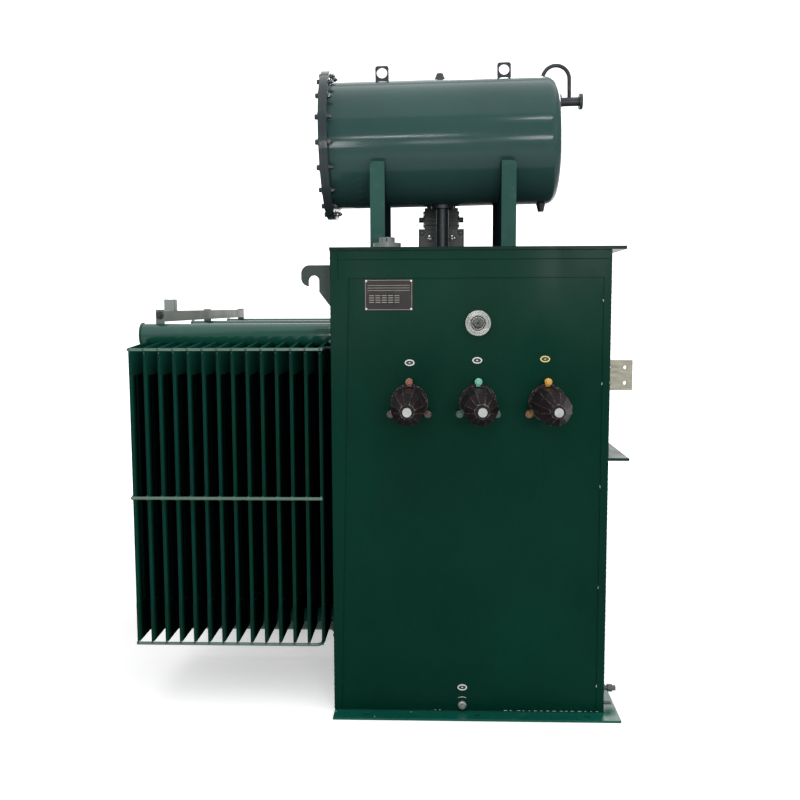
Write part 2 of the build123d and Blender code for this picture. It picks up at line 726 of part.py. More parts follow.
def conservator_lugs():
    """Two upright lifting eyes on top of the shell."""
    height = LUG_HEIGHT + CONSERVATOR_R
    plate = Pos(0, height / 2) * Rectangle(LUG_WIDTH, height)
    top = plate.vertices().sort_by(Axis.Y)[-2:]
    plate = fillet(top, LUG_ROUND)
    plate -= Pos(0, height - LUG_WIDTH / 2) * Circle(LUG_HOLE_R)
    eye = extrude(Plane.XZ * plate, LUG_THICK / 2, both=True)
    places = (LUG_SHIFT - LUG_X, LUG_SHIFT + LUG_X)
    return [in_conservator() * Pos(x, 0, 0) * eye - shell_cutter(CLEAR) for x in places]


def conservator_plugs():
    """Filler cap on top of the shell and sump plug below it."""
    cap = Pos(FILLER_X, 0, CONSERVATOR_R + FILLER_HEIGHT / 2) * Cone(FILLER_R, FILLER_TOP_R, FILLER_HEIGHT)
    cap += Pos(FILLER_X, 0, CONSERVATOR_R) * Cylinder(FILLER_R, CONSERVATOR_WALL)
    drop = CONSERVATOR_R + SUMP_DROP
    sump_x = CONSERVATOR_END - SUMP_INSET
    sump = Pos(sump_x, 0, -drop + SUMP_DROP / 2) * Cone(SUMP_TIP_R, SUMP_R, SUMP_DROP)
    sump += Pos(sump_x, 0, -CONSERVATOR_R) * Cylinder(SUMP_R, CONSERVATOR_WALL)
    return [in_conservator() * piece - shell_cutter(CLEAR) for piece in (cap, sump)]


def breather():
    """Bent pipe from the top of the shell down into a flanged stub on the dished end."""
    start_x = CONSERVATOR_END - BREATHER_INSET
    start_z = CONSERVATOR_R - BREATHER_SINK
    far_x = start_x + 2 * BREATHER_BEND_R
    route = Line((start_x, 0, CONSERVATOR_R - OVERRUN), (start_x, 0, start_z))
    bend = ThreePointArc(
        (start_x, 0, start_z),
        (start_x + BREATHER_BEND_R, 0, start_z + BREATHER_BEND_R),
        (far_x, 0, start_z),
    )
    down = Line((far_x, 0, start_z), (far_x, 0, STUB_Z))
    path = Wire([route, bend, down])
    pipe = sweep(Plane(route @ 0, z_dir=route % 0) * Circle(BREATHER_R), path=path)
    profile = [
        (0, 0),
        (STUB_R, 0),
        (STUB_R, DISH_DEPTH),
        (STUB_FLANGE_R, DISH_DEPTH),
        (STUB_FLANGE_R, DISH_DEPTH + STUB_FLANGE),
        (STUB_R, DISH_DEPTH + STUB_FLANGE),
        (STUB_R, STUB_LENGTH - STUB_FLANGE),
        (STUB_FLANGE_R, STUB_LENGTH - STUB_FLANGE),
        (STUB_FLANGE_R, STUB_LENGTH),
        (0, STUB_LENGTH),
    ]
    pipe += Pos(CONSERVATOR_END, 0, STUB_Z) * Rot(0, 90, 0) * turned(profile)
    return in_conservator() * (pipe - vessel(CLEAR))


def support(x, inward):
    """Saddle of folded plate: a web under the shell with a front and a rear flange."""
    front = CONSERVATOR_Y - CONSERVATOR_R - SUPPORT_GAP
    rear = CONSERVATOR_Y + CONSERVATOR_R + SUPPORT_GAP
    left, right = x - SUPPORT_WIDTH / 2, x + SUPPORT_WIDTH / 2
    inner = right if inward > 0 else left
    web = block(min(inner, inner - inward * SUPPORT_PLATE), max(inner, inner - inward * SUPPORT_PLATE),
                front, rear, COVER_TOP_Z, SUPPORT_TOP_Z)
    saddle = web - shell_cutter(CLEAR)
    for y in (front, rear - SUPPORT_PLATE):
        flange = block(left, right, y, y + SUPPORT_PLATE, COVER_TOP_Z, SUPPORT_TOP_Z)
        outer = flange.edges().filter_by(Axis.Y).group_by(Axis.Z)[-1].sort_by(Axis.X)
        flange = fillet(outer[0 if inward > 0 else -1], SUPPORT_ROUND)
        saddle += flange
    return saddle


def oil_pipe():
    """Pipe from the cover up to the conservator, with a flange at its foot and a pad at its top."""
    height = CONSERVATOR_Z - COVER_TOP_Z
    pad_z = height - CONSERVATOR_R - PIPE_FLANGE
    profile = [
        (0, 0),
        (PIPE_FLANGE_R, 0),
        (PIPE_FLANGE_R, PIPE_FLANGE),
        (PIPE_R, PIPE_FLANGE),
        (PIPE_R, pad_z),
        (PIPE_FLANGE_R, pad_z),
        (PIPE_FLANGE_R, height),
        (0, height),
    ]
    pipe = Pos(CONSERVATOR_X + PIPE_STEP, CONSERVATOR_Y, COVER_TOP_Z) * turned(profile)
    return pipe - shell_cutter(CLEAR)


def gas_relay():
    """Gas relay: a square body with sight glasses and side plugs under a finned head."""
    place = Pos(CONSERVATOR_X + RELAY_STEP, CONSERVATOR_Y + RELAY_BEHIND, COVER_TOP_Z)
    relay = place * Pos(0, 0, RELAY_BASE / 2) * Box(RELAY_WIDTH, RELAY_DEPTH, RELAY_BASE)
    relay = fillet(relay.edges().filter_by(Axis.Z), RELAY_FIN)
    head = Box(RELAY_HEAD_WIDTH, RELAY_HEAD_DEPTH, RELAY_HEAD)
    relay += place * Pos(0, 0, RELAY_BASE + RELAY_HEAD / 2) * head
    pitch = RELAY_HEAD / RELAY_FIN_COUNT
    for index in range(1, RELAY_FIN_COUNT):
        fin = Box(RELAY_HEAD_WIDTH + 2 * RELAY_FIN, RELAY_HEAD_DEPTH + 2 * RELAY_FIN, RELAY_FIN)
        relay += place * Pos(0, 0, RELAY_BASE + index * pitch) * fin
    for side in (-1, 1):
        glass_y = -RELAY_DEPTH / 2 - RELAY_GLASS / 2
        glass = Pos(side * RELAY_GLASS_X, glass_y, RELAY_GLASS_Z) * Rot(90, 0, 0)
        relay += place * glass * Cylinder(RELAY_GLASS_R, RELAY_GLASS)
        ear_x = side * (RELAY_HEAD_WIDTH + RELAY_EAR) / 2
        ear = Pos(ear_x, 0, RELAY_BASE + RELAY_HEAD / 2) * Rot(0, 90, 0)
        relay += place * ear * Cylinder(RELAY_EAR_R, RELAY_EAR)
        plug = Pos(side * RELAY_GLASS_X, 0, RELAY_BASE + RELAY_HEAD + RELAY_PLUG / 2)
        relay += place * plug * Cylinder(RELAY_PLUG_R, RELAY_PLUG)
    return relay


def relief_valve():
    """Pressure relief cap on the cover."""
    profile = [
        (0, 0),
        (RELIEF_R, 0),
        (RELIEF_R, RELIEF_BASE),
        (RELIEF_TOP_R, RELIEF_BASE),
        (RELIEF_TOP_R, RELIEF_HEIGHT),
        (0, RELIEF_HEIGHT),
    ]
    return Pos(CONSERVATOR_X - RELIEF_STEP, FRONT_Y + RELIEF_INSET, COVER_TOP_Z) * turned(profile)


def main():
    """Build every node and write it."""
    os.makedirs("parts", exist_ok=True)
    save(base_plate(), "base_plate")
    for name, wall in tank_walls().items():
        save(wall, name)
    save(cover(), "cover")
    save(core_and_windings(), "core_and_windings")
    save(front_frame(), "front_frame")
    terminals = []
    for step, side in ((-1, "left"), (0, "middle"), (1, "right")):
        place = facing_front(BUSHING_MIDDLE_X + step * BUSHING_PITCH, BUSHING_Z)
        save(place * bushing(), f"bushing_{side}")
        save([place * clamp for clamp in bushing_clamps()], f"bushing_clamps_{side}")
        terminals.append(place * bushing_terminal())
    save(terminals, "bushing_terminals")
    save(oil_port(), "oil_port")
    save(nameplate(), "nameplate")
    save(earth_stud(), "earth_stud")
    save(lv_panel(), "lv_panel")
    save(lv_flags(), "lv_flags")
    save(side_shelf(), "side_shelf")
    save(drain_valve(), "drain_valve")
    save(lifting_hooks(), "lifting_hooks")
    places = [RADIATOR_PITCH * (index - (RADIATOR_COUNT - 1) / 2) for index in range(RADIATOR_COUNT)]
    for number, y in enumerate(places, 1):
        save(radiator_panels(y), f"radiator_{number}_panels")
        save(radiator_headers(y), f"radiator_{number}_headers")
        save(radiator_bars(y), f"radiator_{number}_bars")
    save(radiator_flanges(places), "radiator_flanges")
    save(tie_beam(places), "tie_beam")
    save(beam_box(places[0]), "beam_box")
    save(conservator_shell(), "conservator_shell")
    save(conservator_cover(), "conservator_cover")
    save(conservator_lugs(), "conservator_lugs")
    save(conservator_plugs(), "conservator_plugs")
    save(breather(), "breather")
    save(support(CONSERVATOR_X - SUPPORT_LEFT, 1), "support_left")
    save(support(CONSERVATOR_X + SUPPORT_RIGHT, -1), "support_right")
    save(oil_pipe(), "oil_pipe")
    save(gas_relay(), "gas_relay")
    save(relief_valve(), "relief_valve")


main()
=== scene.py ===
"""Looks of the power transformer: finishes, welds, bolts, signs, light and camera."""
import json
import math
import random

import bmesh
import bpy
from mathutils import Matrix, Vector


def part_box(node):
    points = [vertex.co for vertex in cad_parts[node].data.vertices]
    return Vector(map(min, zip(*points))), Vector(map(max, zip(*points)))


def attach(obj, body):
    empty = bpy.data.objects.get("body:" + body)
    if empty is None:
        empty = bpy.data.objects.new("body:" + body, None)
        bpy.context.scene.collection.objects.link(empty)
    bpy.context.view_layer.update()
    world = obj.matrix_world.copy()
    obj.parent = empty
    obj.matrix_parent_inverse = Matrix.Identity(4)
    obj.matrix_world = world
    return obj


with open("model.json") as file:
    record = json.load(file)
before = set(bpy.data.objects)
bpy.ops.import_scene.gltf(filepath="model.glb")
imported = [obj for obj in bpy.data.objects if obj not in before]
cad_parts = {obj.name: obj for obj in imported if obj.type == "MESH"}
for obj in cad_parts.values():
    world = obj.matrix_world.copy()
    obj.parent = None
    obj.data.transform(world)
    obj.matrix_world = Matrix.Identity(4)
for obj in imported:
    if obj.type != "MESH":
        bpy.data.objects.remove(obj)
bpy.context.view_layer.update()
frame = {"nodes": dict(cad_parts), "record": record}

NODES = frame["nodes"]
MM = 0.001
X, Y, Z = Vector((1, 0, 0)), Vector((0, 1, 0)), Vector((0, 0, 1))
RADIATORS = (1, 2, 3)
rng = random.Random(20)

# Camera of the photograph, in its 800 pixel frame
FRAME_PIXELS = 800
FOCAL_PIXELS = 925
SENSOR_MM = 36
CAMERA_DISTANCE = 3.29
CAMERA_HEIGHT = 1.495
CAMERA_SIDE = -0.131
CAMERA_PITCH = math.radians(5.8)
CAMERA_YAW = math.radians(2.05)
CAMERA_ROLL = math.radians(-0.2)


def middle_of(node):
    """Middle of a solid's box."""
    low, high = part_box(node)
    return (low + high) / 2


# Node helpers

def new_material(name):
    """New material, with its nodes, its links and its shader."""
    material = bpy.data.materials.new(name)
    material.use_nodes = True
    tree = material.node_tree
    return material, tree.nodes, tree.links, tree.nodes["Principled BSDF"]


def noise(nodes, links, scale, detail=2.0, stretch=None):
    """Noise on object coordinates, in features a metre, stretched along the axes where asked."""
    place = nodes.new("ShaderNodeTexCoord")
    texture = nodes.new("ShaderNodeTexNoise")
    texture.inputs["Scale"].default_value = scale
    texture.inputs["Detail"].default_value = detail
    if stretch:
        mapping = nodes.new("ShaderNodeMapping")
        mapping.inputs["Scale"].default_value = stretch
        links.new(place.outputs["Object"], mapping.inputs["Vector"])
        links.new(mapping.outputs["Vector"], texture.inputs["Vector"])
    else:
        links.new(place.outputs["Object"], texture.inputs["Vector"])
    return texture.outputs["Fac"]


def ramp(nodes, links, value, stops):
    """Colour ramp over a value; stops are (place on the ramp, colour)."""
    node = nodes.new("ShaderNodeValToRGB")
    elements = node.color_ramp.elements
    elements[0].position, elements[0].color = stops[0][0], (*stops[0][1], 1)
    elements[1].position, elements[1].color = stops[-1][0], (*stops[-1][1], 1)
    for stop, colour in stops[1:-1]:
        elements.new(stop).color = (*colour, 1)
    links.new(value, node.inputs["Fac"])
    return node.outputs["Color"]


def map_range(nodes, links, value, low, high, out_low, out_high):
    """Value moved from one range to another, clamped."""
    node = nodes.new("ShaderNodeMapRange")
    for name, number in (("From Min", low), ("From Max", high), ("To Min", out_low), ("To Max", out_high)):
        node.inputs[name].default_value = number
    links.new(value, node.inputs["Value"])
    return node.outputs["Result"]


# Colour sockets of a Mix node, which share their names with its other sockets
MIX_FIRST, MIX_SECOND, MIX_RESULT = 6, 7, 2


def mix_colour(nodes, links, factor, first, second):
    """Colour between two sockets or plain colours."""
    node = nodes.new("ShaderNodeMix")
    node.data_type = "RGBA"
    links.new(factor, node.inputs["Factor"])
    for index, value in ((MIX_FIRST, first), (MIX_SECOND, second)):
        if isinstance(value, tuple):
            node.inputs[index].default_value = (*value, 1)
        else:
            links.new(value, node.inputs[index])
    return node.outputs[MIX_RESULT]


def bump(nodes, links, shader, height, depth, strength, under):
    """Roughen a shader's surface by a height value, over another normal."""
    node = nodes.new("ShaderNodeBump")
    node.inputs["Distance"].default_value = depth
    node.inputs["Strength"].default_value = strength
    links.new(height, node.inputs["Height"])
    links.new(under, node.inputs["Normal"])
    links.new(node.outputs["Normal"], shader.inputs["Normal"])


def soft_edge(nodes, radius):
    """Normal that rounds the hard edges of plate and bar."""
    node = nodes.new("ShaderNodeBevel")
    node.samples = 4
    node.inputs["Radius"].default_value = radius
    return node.outputs["Normal"]


def scaled(colour, factor):
    """Colour made lighter or darker."""
    return tuple(min(1.0, channel * factor) for channel in colour)


def math_node(nodes, links, operation, value, *others):
    """One sum on a socket and numbers or further sockets."""
    node = nodes.new("ShaderNodeMath")
    node.operation = operation
    links.new(value, node.inputs[0])
    for socket, other in zip(node.inputs[1:], others):
        if isinstance(other, (int, float)):
            socket.default_value = other
        else:
            links.new(other, socket)
    return node.outputs[0]


def facing(nodes, links, axis, low, high):
    """One on faces that look along an axis, either way, and zero on the others."""
    geometry = nodes.new("ShaderNodeNewGeometry")
    parts = nodes.new("ShaderNodeSeparateXYZ")
    links.new(geometry.outputs["True Normal"], parts.inputs["Vector"])
    size = math_node(nodes, links, "ABSOLUTE", parts.outputs[axis])
    return map_range(nodes, links, size, low, high, 0.0, 1.0)


def position(nodes, links):
    """Axes of the place in the world."""
    geometry = nodes.new("ShaderNodeNewGeometry")
    axes = nodes.new("ShaderNodeSeparateXYZ")
    links.new(geometry.outputs["Position"], axes.inputs["Vector"])
    return axes.outputs


# Materials

PEEL_DEPTH, GRAIN_DEPTH, RIPPLE_DEPTH, FIBRE_DEPTH = 0.6 * MM, 0.4 * MM, 0.8 * MM, 0.6 * MM
PAINT_EDGE, TURNED_EDGE, BARE_EDGE, GLAZE_EDGE, BOARD_EDGE = 2.5 * MM, 1.5 * MM, 1.2 * MM, 3.5 * MM, 1 * MM


def paint(name, colour, roughness=0.28, specular=0.3, peel=0.25, dust=0.12, dust_colour=(0.20, 0.23, 0.21)):
    """Sprayed enamel: cloudy colour, orange peel, dusty patches and softened plate edges."""
    material, nodes, links, shader = new_material(name)
    cloud = noise(nodes, links, scale=2.6, detail=4.0)
    stops = [(0.3, scaled(colour, 0.84)), (0.55, colour), (0.75, scaled(colour, 1.16))]
    base = ramp(nodes, links, cloud, stops)
    speckle = noise(nodes, links, scale=34.0, detail=6.0)
    patch = map_range(nodes, links, speckle, 0.56, 0.78, 0.0, dust)
    links.new(mix_colour(nodes, links, patch, base, dust_colour), shader.inputs["Base Color"])
    smear = noise(nodes, links, scale=7.0, detail=5.0, stretch=(1.0, 1.0, 0.35))
    links.new(map_range(nodes, links, smear, 0.3, 0.7, roughness * 0.75, roughness * 1.35),
              shader.inputs["Roughness"])
    shader.inputs["Specular IOR Level"].default_value = specular
    grain = noise(nodes, links, scale=420.0)
    bump(nodes, links, shader, grain, PEEL_DEPTH, peel, soft_edge(nodes, PAINT_EDGE))
    return material


def tint(material, mask, colour):
    """Lay another colour over a finish by a mask, which is made from the finish's own nodes and links."""
    nodes, links = material.node_tree.nodes, material.node_tree.links
    base = nodes["Principled BSDF"].inputs["Base Color"]
    under = base.links[0].from_socket
    links.new(mix_colour(nodes, links, mask(nodes, links), under, colour), base)
    return material


FLUTE_DROP = 99 * MM
# Painted shade between the panels: how far it fades in below the flat tops, and how dark it gets
SHADE_EDGE, SHADE_SHARE = 4 * MM, 0.92
PANEL_MARGIN = 26 * MM
PANEL_SKIN = 4.5 * MM


def panel_paint(name, colour, edge_shading_colour, shade_colour):
    """Radiator enamel with painted shade: darker on the edges and between the panels, plain on the flat tops
    and outer face.
    """
    low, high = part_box("radiator_2_panels")
    middle_y, half = (low.y + high.y) / 2, (high.y - low.y) / 2
    pitch = middle_of("radiator_3_panels").y - middle_y
    flute_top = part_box("radiator_2_bars")[1].z - FLUTE_DROP

    # Painted shade on the front and rear edges of the panels
    def edges(nodes, links):
        return facing(nodes, links, "Y", 0.4, 0.7)

    # Painted shade on the flanks between the panels, below the flat tops, left off the outer face of the end
    # panel
    def between_panel_shade(nodes, links):
        place = position(nodes, links)
        below = map_range(nodes, links, place["Z"], flute_top - SHADE_EDGE, flute_top, SHADE_SHARE, 0.0)
        across = math_node(nodes, links, "SUBTRACT", place["Y"], middle_y)
        wrapped = math_node(nodes, links, "WRAP", across, pitch / 2, -pitch / 2)
        inward = math_node(nodes, links, "ABSOLUTE", wrapped)
        inside = map_range(nodes, links, inward, half - 2 * PANEL_MARGIN, half - PANEL_MARGIN / 2, 1.0, 0.0)
        outer = low.x + PANEL_SKIN
        between = map_range(nodes, links, place["X"], outer, outer + PANEL_SKIN, 0.0, 1.0)
        flank = math_node(nodes, links, "MULTIPLY", facing(nodes, links, "X", 0.3, 0.6), between)
        return math_node(nodes, links, "MULTIPLY", math_node(nodes, links, "MULTIPLY", below, inside), flank)

    material = paint(name, colour, 0.55, 0.0, dust=0.03)
    return tint(tint(material, edges, edge_shading_colour), between_panel_shade, shade_colour)


def turned_steel(name, colour):
    """Machined steel with fine rings round the oil port, which stretch its highlights."""
    material, nodes, links, shader = new_material(name)
    place = nodes.new("ShaderNodeNewGeometry")
    shift = nodes.new("ShaderNodeMapping")
    shift.inputs["Location"].default_value = -middle_of("oil_port")
    links.new(place.outputs["Position"], shift.inputs["Vector"])
    rings = nodes.new("ShaderNodeTexWave")
    rings.wave_type = "RINGS"
    rings.rings_direction = "Y"
    rings.inputs["Scale"].default_value = 34.0
    rings.inputs["Distortion"].default_value = 0.15
    links.new(shift.outputs["Vector"], rings.inputs["Vector"])
    links.new(ramp(nodes, links, rings.outputs["Fac"], [(0.1, scaled(colour, 0.72)), (0.8, colour)]),
              shader.inputs["Base Color"])
    shader.inputs["Metallic"].default_value = 0.95
    shader.inputs["Anisotropic"].default_value = 0.75
    tangent = nodes.new("ShaderNodeTangent")
    tangent.direction_type = "RADIAL"
    tangent.axis = "Y"
    links.new(tangent.outputs["Tangent"], shader.inputs["Tangent"])
    links.new(map_range(nodes, links, rings.outputs["Fac"], 0.0, 1.0, 0.24, 0.38), shader.inputs["Roughness"])
    bump(nodes, links, shader, rings.outputs["Fac"], GRAIN_DEPTH, 0.06, soft_edge(nodes, TURNED_EDGE))
    return material


def metal(name, colour, roughness, stretch, scratch=0.3):
    """Bare metal with a fine directional grain and uneven tarnish."""
    material, nodes, links, shader = new_material(name)
    cloud = noise(nodes, links, scale=9.0, detail=4.0)
    links.new(ramp(nodes, links, cloud, [(0.3, scaled(colour, 0.78)), (0.7, scaled(colour, 1.08))]),
              shader.inputs["Base Color"])
    shader.inputs["Metallic"].default_value = 0.85
    grain = noise(nodes, links, scale=90.0, detail=3.0, stretch=stretch)
    links.new(map_range(nodes, links, grain, 0.3, 0.7, roughness * 0.8, roughness * 1.3),
              shader.inputs["Roughness"])
    bump(nodes, links, shader, grain, GRAIN_DEPTH, scratch, soft_edge(nodes, BARE_EDGE))
    return material


def glaze(name, colour, edge_shading_colour):
    """Dark glazed insulator: slow colour change, a soft gloss and painted highlights as pale flecks along the
    edges.
    """
    material, nodes, links, shader = new_material(name)
    cloud = noise(nodes, links, scale=14.0, detail=3.0)
    base = ramp(nodes, links, cloud, [(0.3, scaled(colour, 0.7)), (0.7, scaled(colour, 1.5))])
    rounded = soft_edge(nodes, GLAZE_EDGE)
    geometry = nodes.new("ShaderNodeNewGeometry")
    match = nodes.new("ShaderNodeVectorMath")
    match.operation = "DOT_PRODUCT"
    links.new(rounded, match.inputs[0])
    links.new(geometry.outputs["True Normal"], match.inputs[1])
    # Painted highlight: pale flecks along the edges, where the rounded normal turns away from the true one
    edge = map_range(nodes, links, match.outputs["Value"], 0.955, 0.995, 1.0, 0.0)
    fleck = noise(nodes, links, scale=110.0, detail=3.0)
    glint_flecks = map_range(nodes, links, fleck, 0.46, 0.62, 0.0, 0.8)
    edge_glints = math_node(nodes, links, "MULTIPLY", edge, glint_flecks)
    links.new(mix_colour(nodes, links, edge_glints, base, edge_shading_colour), shader.inputs["Base Color"])
    ripple = noise(nodes, links, scale=60.0)
    bump(nodes, links, shader, ripple, RIPPLE_DEPTH, 0.10, rounded)
    links.new(map_range(nodes, links, cloud, 0.3, 0.7, 0.38, 0.50), shader.inputs["Roughness"])
    shader.inputs["Specular IOR Level"].default_value = 0.10
    return material


def board(name, colour):
    """Pressed insulating board with a faint lay of fibres."""
    material, nodes, links, shader = new_material(name)
    fibre = noise(nodes, links, scale=60.0, detail=6.0, stretch=(1.0, 0.15, 1.0))
    links.new(ramp(nodes, links, fibre, [(0.3, scaled(colour, 0.72)), (0.7, scaled(colour, 1.15))]),
              shader.inputs["Base Color"])
    shader.inputs["Roughness"].default_value = 0.62
    bump(nodes, links, shader, fibre, FIBRE_DEPTH, 0.3, soft_edge(nodes, BOARD_EDGE))
    return material


SLOT_MATERIALS = {
    "tank_green": paint("tank_green", (0.0003, 0.0226, 0.0134), 0.24, 0.034, peel=0.04, dust=0.006),
    "base_green": paint("base_green", (0.003, 0.076, 0.054), 0.26, 0.12, dust=0.06),
    "radiator_green": paint("radiator_green", (0.007, 0.068, 0.046), 0.14, 0.30, peel=0.08, dust=0.03),
    "conservator_green": paint("conservator_green", (0.021, 0.057, 0.052), 0.12, 0.13, peel=0.015, dust=0.02),
    "grey_green": paint("grey_green", (0.105, 0.125, 0.105), 0.40, 0.25),
    "slate": paint("slate", (0.014, 0.018, 0.022), 0.36, 0.25),
    "relay_grey": paint("relay_grey", (0.022, 0.027, 0.030), 0.40, 0.30, peel=0.6),
    "fitting_grey": paint("fitting_grey", (0.070, 0.085, 0.078), 0.36, 0.3, peel=0.5),
    "pale_grey": paint("pale_grey", (0.20, 0.225, 0.212), 0.38, 0.3, dust_colour=(0.15, 0.15, 0.14)),
    "plate_brown": paint("plate_brown", (0.012, 0.010, 0.010), 0.30, 0.12),
    "clamp_copper": paint("clamp_copper", (0.21, 0.062, 0.026), 0.24, 0.5),
    "clamp_green": paint("clamp_green", (0.14, 0.42, 0.33), 0.24, 0.5),
    "clamp_yellow": paint("clamp_yellow", (0.56, 0.29, 0.030), 0.24, 0.5),
    # Bushing glaze; its second colour is the painted highlight along the edges
    "bushing_glaze": glaze("bushing_glaze", (0.0085, 0.0052, 0.0060), (0.30, 0.27, 0.27)),
    "bright_steel": metal("bright_steel", (0.24, 0.25, 0.24), 0.34, (1.0, 0.2, 1.0)),
    "tinned_bar": metal("tinned_bar", (0.235, 0.228, 0.185), 0.50, (0.2, 1.0, 1.0)),
    "core_steel": metal("core_steel", (0.20, 0.20, 0.21), 0.5, (1.0, 1.0, 0.2)),
    "panel_board": board("panel_board", (0.15, 0.105, 0.058)),
}
# Radiator panels: plain green, painted shade on the edges and painted shade between the panels
PANEL_PAINT = panel_paint("radiator_panel_green", (0.006, 0.058, 0.041), (0.007, 0.026, 0.020),
                          (0.0004, 0.0014, 0.0012))
# Header pipes, with painted shade on their end caps, the faces that look along X
HEADER_PAINT = tint(paint("header_green", (0.007, 0.060, 0.043), 0.13, 0.25, peel=0.06, dust=0.03),
                    lambda nodes, links: facing(nodes, links, "X", 0.7, 0.9), (0.005, 0.015, 0.012))
# Support posts, with painted shade on their side webs, the faces that look along X
POST_PAINT = tint(paint("post_green", (0.030, 0.080, 0.067), 0.50, 0.0),
                  lambda nodes, links: facing(nodes, links, "X", 0.6, 0.8), (0.009, 0.016, 0.018))
# Cover darker than the tank green, as painted shade along its front edge
COVER_PAINT = paint("cover_green", (0.0006, 0.013, 0.009), 0.26, 0.05, peel=0.04, dust=0.012)
# Radiator bars and rods, paler than the radiator green as a painted highlight
BAR_HIGHLIGHT_PAINT = paint("radiator_bar_highlight_green", (0.075, 0.132, 0.104), 0.26, 0.3)
HOOK_PAINT = paint("hook_green", (0.038, 0.054, 0.048), 0.45, 0.1)
SHELF_PAINT = paint("shelf_green", (0.0030, 0.026, 0.019), 0.40, 0.08, dust=0.08)
RELIEF_PAINT = paint("relief_grey", (0.125, 0.148, 0.134), 0.38, 0.3, dust_colour=(0.10, 0.10, 0.09))
TURNED_STEEL = turned_steel("turned_steel", (0.150, 0.156, 0.147))
DULL_STEEL = turned_steel("dull_steel", (0.070, 0.073, 0.069))
NUT_STEEL = paint("nut_steel", (0.016, 0.019, 0.021), 0.14, 0.8)
WHITE_ENAMEL = paint("white_enamel", (0.62, 0.64, 0.60), 0.35, 0.4)
YELLOW_ENAMEL = paint("yellow_enamel", (0.62, 0.52, 0.18), 0.35, 0.4)
RULE_PAINT = paint("rule_paint", (0.36, 0.34, 0.30), 0.45, 0.3)
TICK_PAINT = paint("tick_paint", (0.075, 0.115, 0.140), 0.40, 0.2)
# Pale green of the foot beads, a painted highlight; the spatter drops share it
BEAD_PAINT = paint("bead_green", (0.26, 0.44, 0.38), 0.40, 0.3)
SIGHT_GLASS = paint("sight_glass", (0.030, 0.034, 0.036), 0.10, 0.5, peel=0.02)
DARK_SLOT = paint("dark_slot", (0.012, 0.012, 0.012), 0.6, 0.2)
NODE_MATERIALS = {
    "support_left": POST_PAINT,
    "support_right": POST_PAINT,
    "oil_port": TURNED_STEEL,
    "lifting_hooks": HOOK_PAINT,
    "side_shelf": SHELF_PAINT,
    "relief_valve": RELIEF_PAINT,
    "cover": COVER_PAINT,
}
for number in RADIATORS:
    NODE_MATERIALS[f"radiator_{number}_panels"] = PANEL_PAINT
    NODE_MATERIALS[f"radiator_{number}_headers"] = HEADER_PAINT
    NODE_MATERIALS[f"radiator_{number}_bars"] = BAR_HIGHLIGHT_PAINT


def dress_nodes():
    """Give every solid the finish of its slot."""
    slots = {piece["node"]: piece["material_slot"] for piece in frame["record"]["subparts"]}
    for name, solid in NODES.items():
        solid.data.materials.clear()
        solid.data.materials.append(NODE_MATERIALS.get(name, SLOT_MATERIALS[slots[name]]))


# Mesh helpers

ROUND_SIDES, WASHER_SIDES, STUD_SIDES, DOT_SIDES = 24, 20, 12, 12
WELD_STEP, FINE_STEP = 6 * MM, 3 * MM
PLATE_SMOOTH, WELD_SMOOTH = 35, 60


def at(origin, out, up=Z):
    """Frame with local Z along out and local Y as near to up as it can be."""
    z = Vector(out).normalized()
    x = Vector(up).cross(z)
    if x.length < 1e-6:
        x = Y.cross(z)
    x.normalize()
    y = z.cross(x)
    matrix = Matrix((x, y, z)).transposed().to_4x4()
    matrix.translation = Vector(origin)
    return matrix


def lathe(bm, place, profile, sides=ROUND_SIDES):
    """Solid of revolution from (radius, height) points that end on the axis or, for a ring, at the first."""
    turns = [math.tau * step / sides for step in range(sides)]
    rings = []
    for radius, height in profile:
        if rings and (radius, height) == profile[0]:
            rings.append(rings[0])
        elif radius == 0:
            rings.append([bm.verts.new(place @ Vector((0, 0, height)))])
        else:
            rings.append([bm.verts.new(place @ Vector((radius * math.cos(a), radius * math.sin(a), height)))
                          for a in turns])
    for low, high in zip(rings, rings[1:]):
        for step in range(sides):
            after = (step + 1) % sides
            corners = [low[step % len(low)], low[after % len(low)]]
            corners += [high[after % len(high)], high[step % len(high)]]
            unique = list(dict.fromkeys(corners))
            if len(unique) > 2:
                bm.faces.new(unique)


def disc(bm, place, radius, top_share, rise, sides=ROUND_SIDES):
    """Low round boss that narrows to a share of its radius."""
    lathe(bm, place, [(0, 0), (radius, 0), (radius * top_share, rise), (0, rise)], sides)


def prism(bm, place, outline, depth, chamfer=0.0):
    """Closed solid from a flat outline raised along local Z, with its top edge drawn in by the chamfer."""
    middle = sum((Vector(point) for point in outline), Vector((0, 0))) / len(outline)
    levels = [(0.0, 0.0), (depth - chamfer, 0.0), (depth, chamfer)] if chamfer else [(0.0, 0.0), (depth, 0.0)]
    rings = []
    for height, inset in levels:
        ring = []
        for point in outline:
            arm = Vector(point) - middle
            kept = middle + arm * max(0.0, 1 - inset / max(arm.length, 1e-9))
            ring.append(bm.verts.new(place @ Vector((kept.x, kept.y, height))))
        rings.append(ring)
    count = len(outline)
    for low, high in zip(rings, rings[1:]):
        for step in range(count):
            after = (step + 1) % count
            bm.faces.new([low[step], low[after], high[after], high[step]])
    bm.faces.new(list(reversed(rings[0])))
    bm.faces.new(rings[-1])


def ring_solid(bm, place, outer, inner, depth):
    """Closed flat ring between two outlines of as many points."""
    loops = []
    for outline, height in ((outer, 0), (outer, depth), (inner, depth), (inner, 0)):
        loops.append([bm.verts.new(place @ Vector((x, y, height))) for x, y in outline])
    count = len(outer)
    for first, second in zip(loops, loops[1:] + loops[:1]):
        for step in range(count):
            after = (step + 1) % count
            bm.faces.new([first[step], first[after], second[after], second[step]])


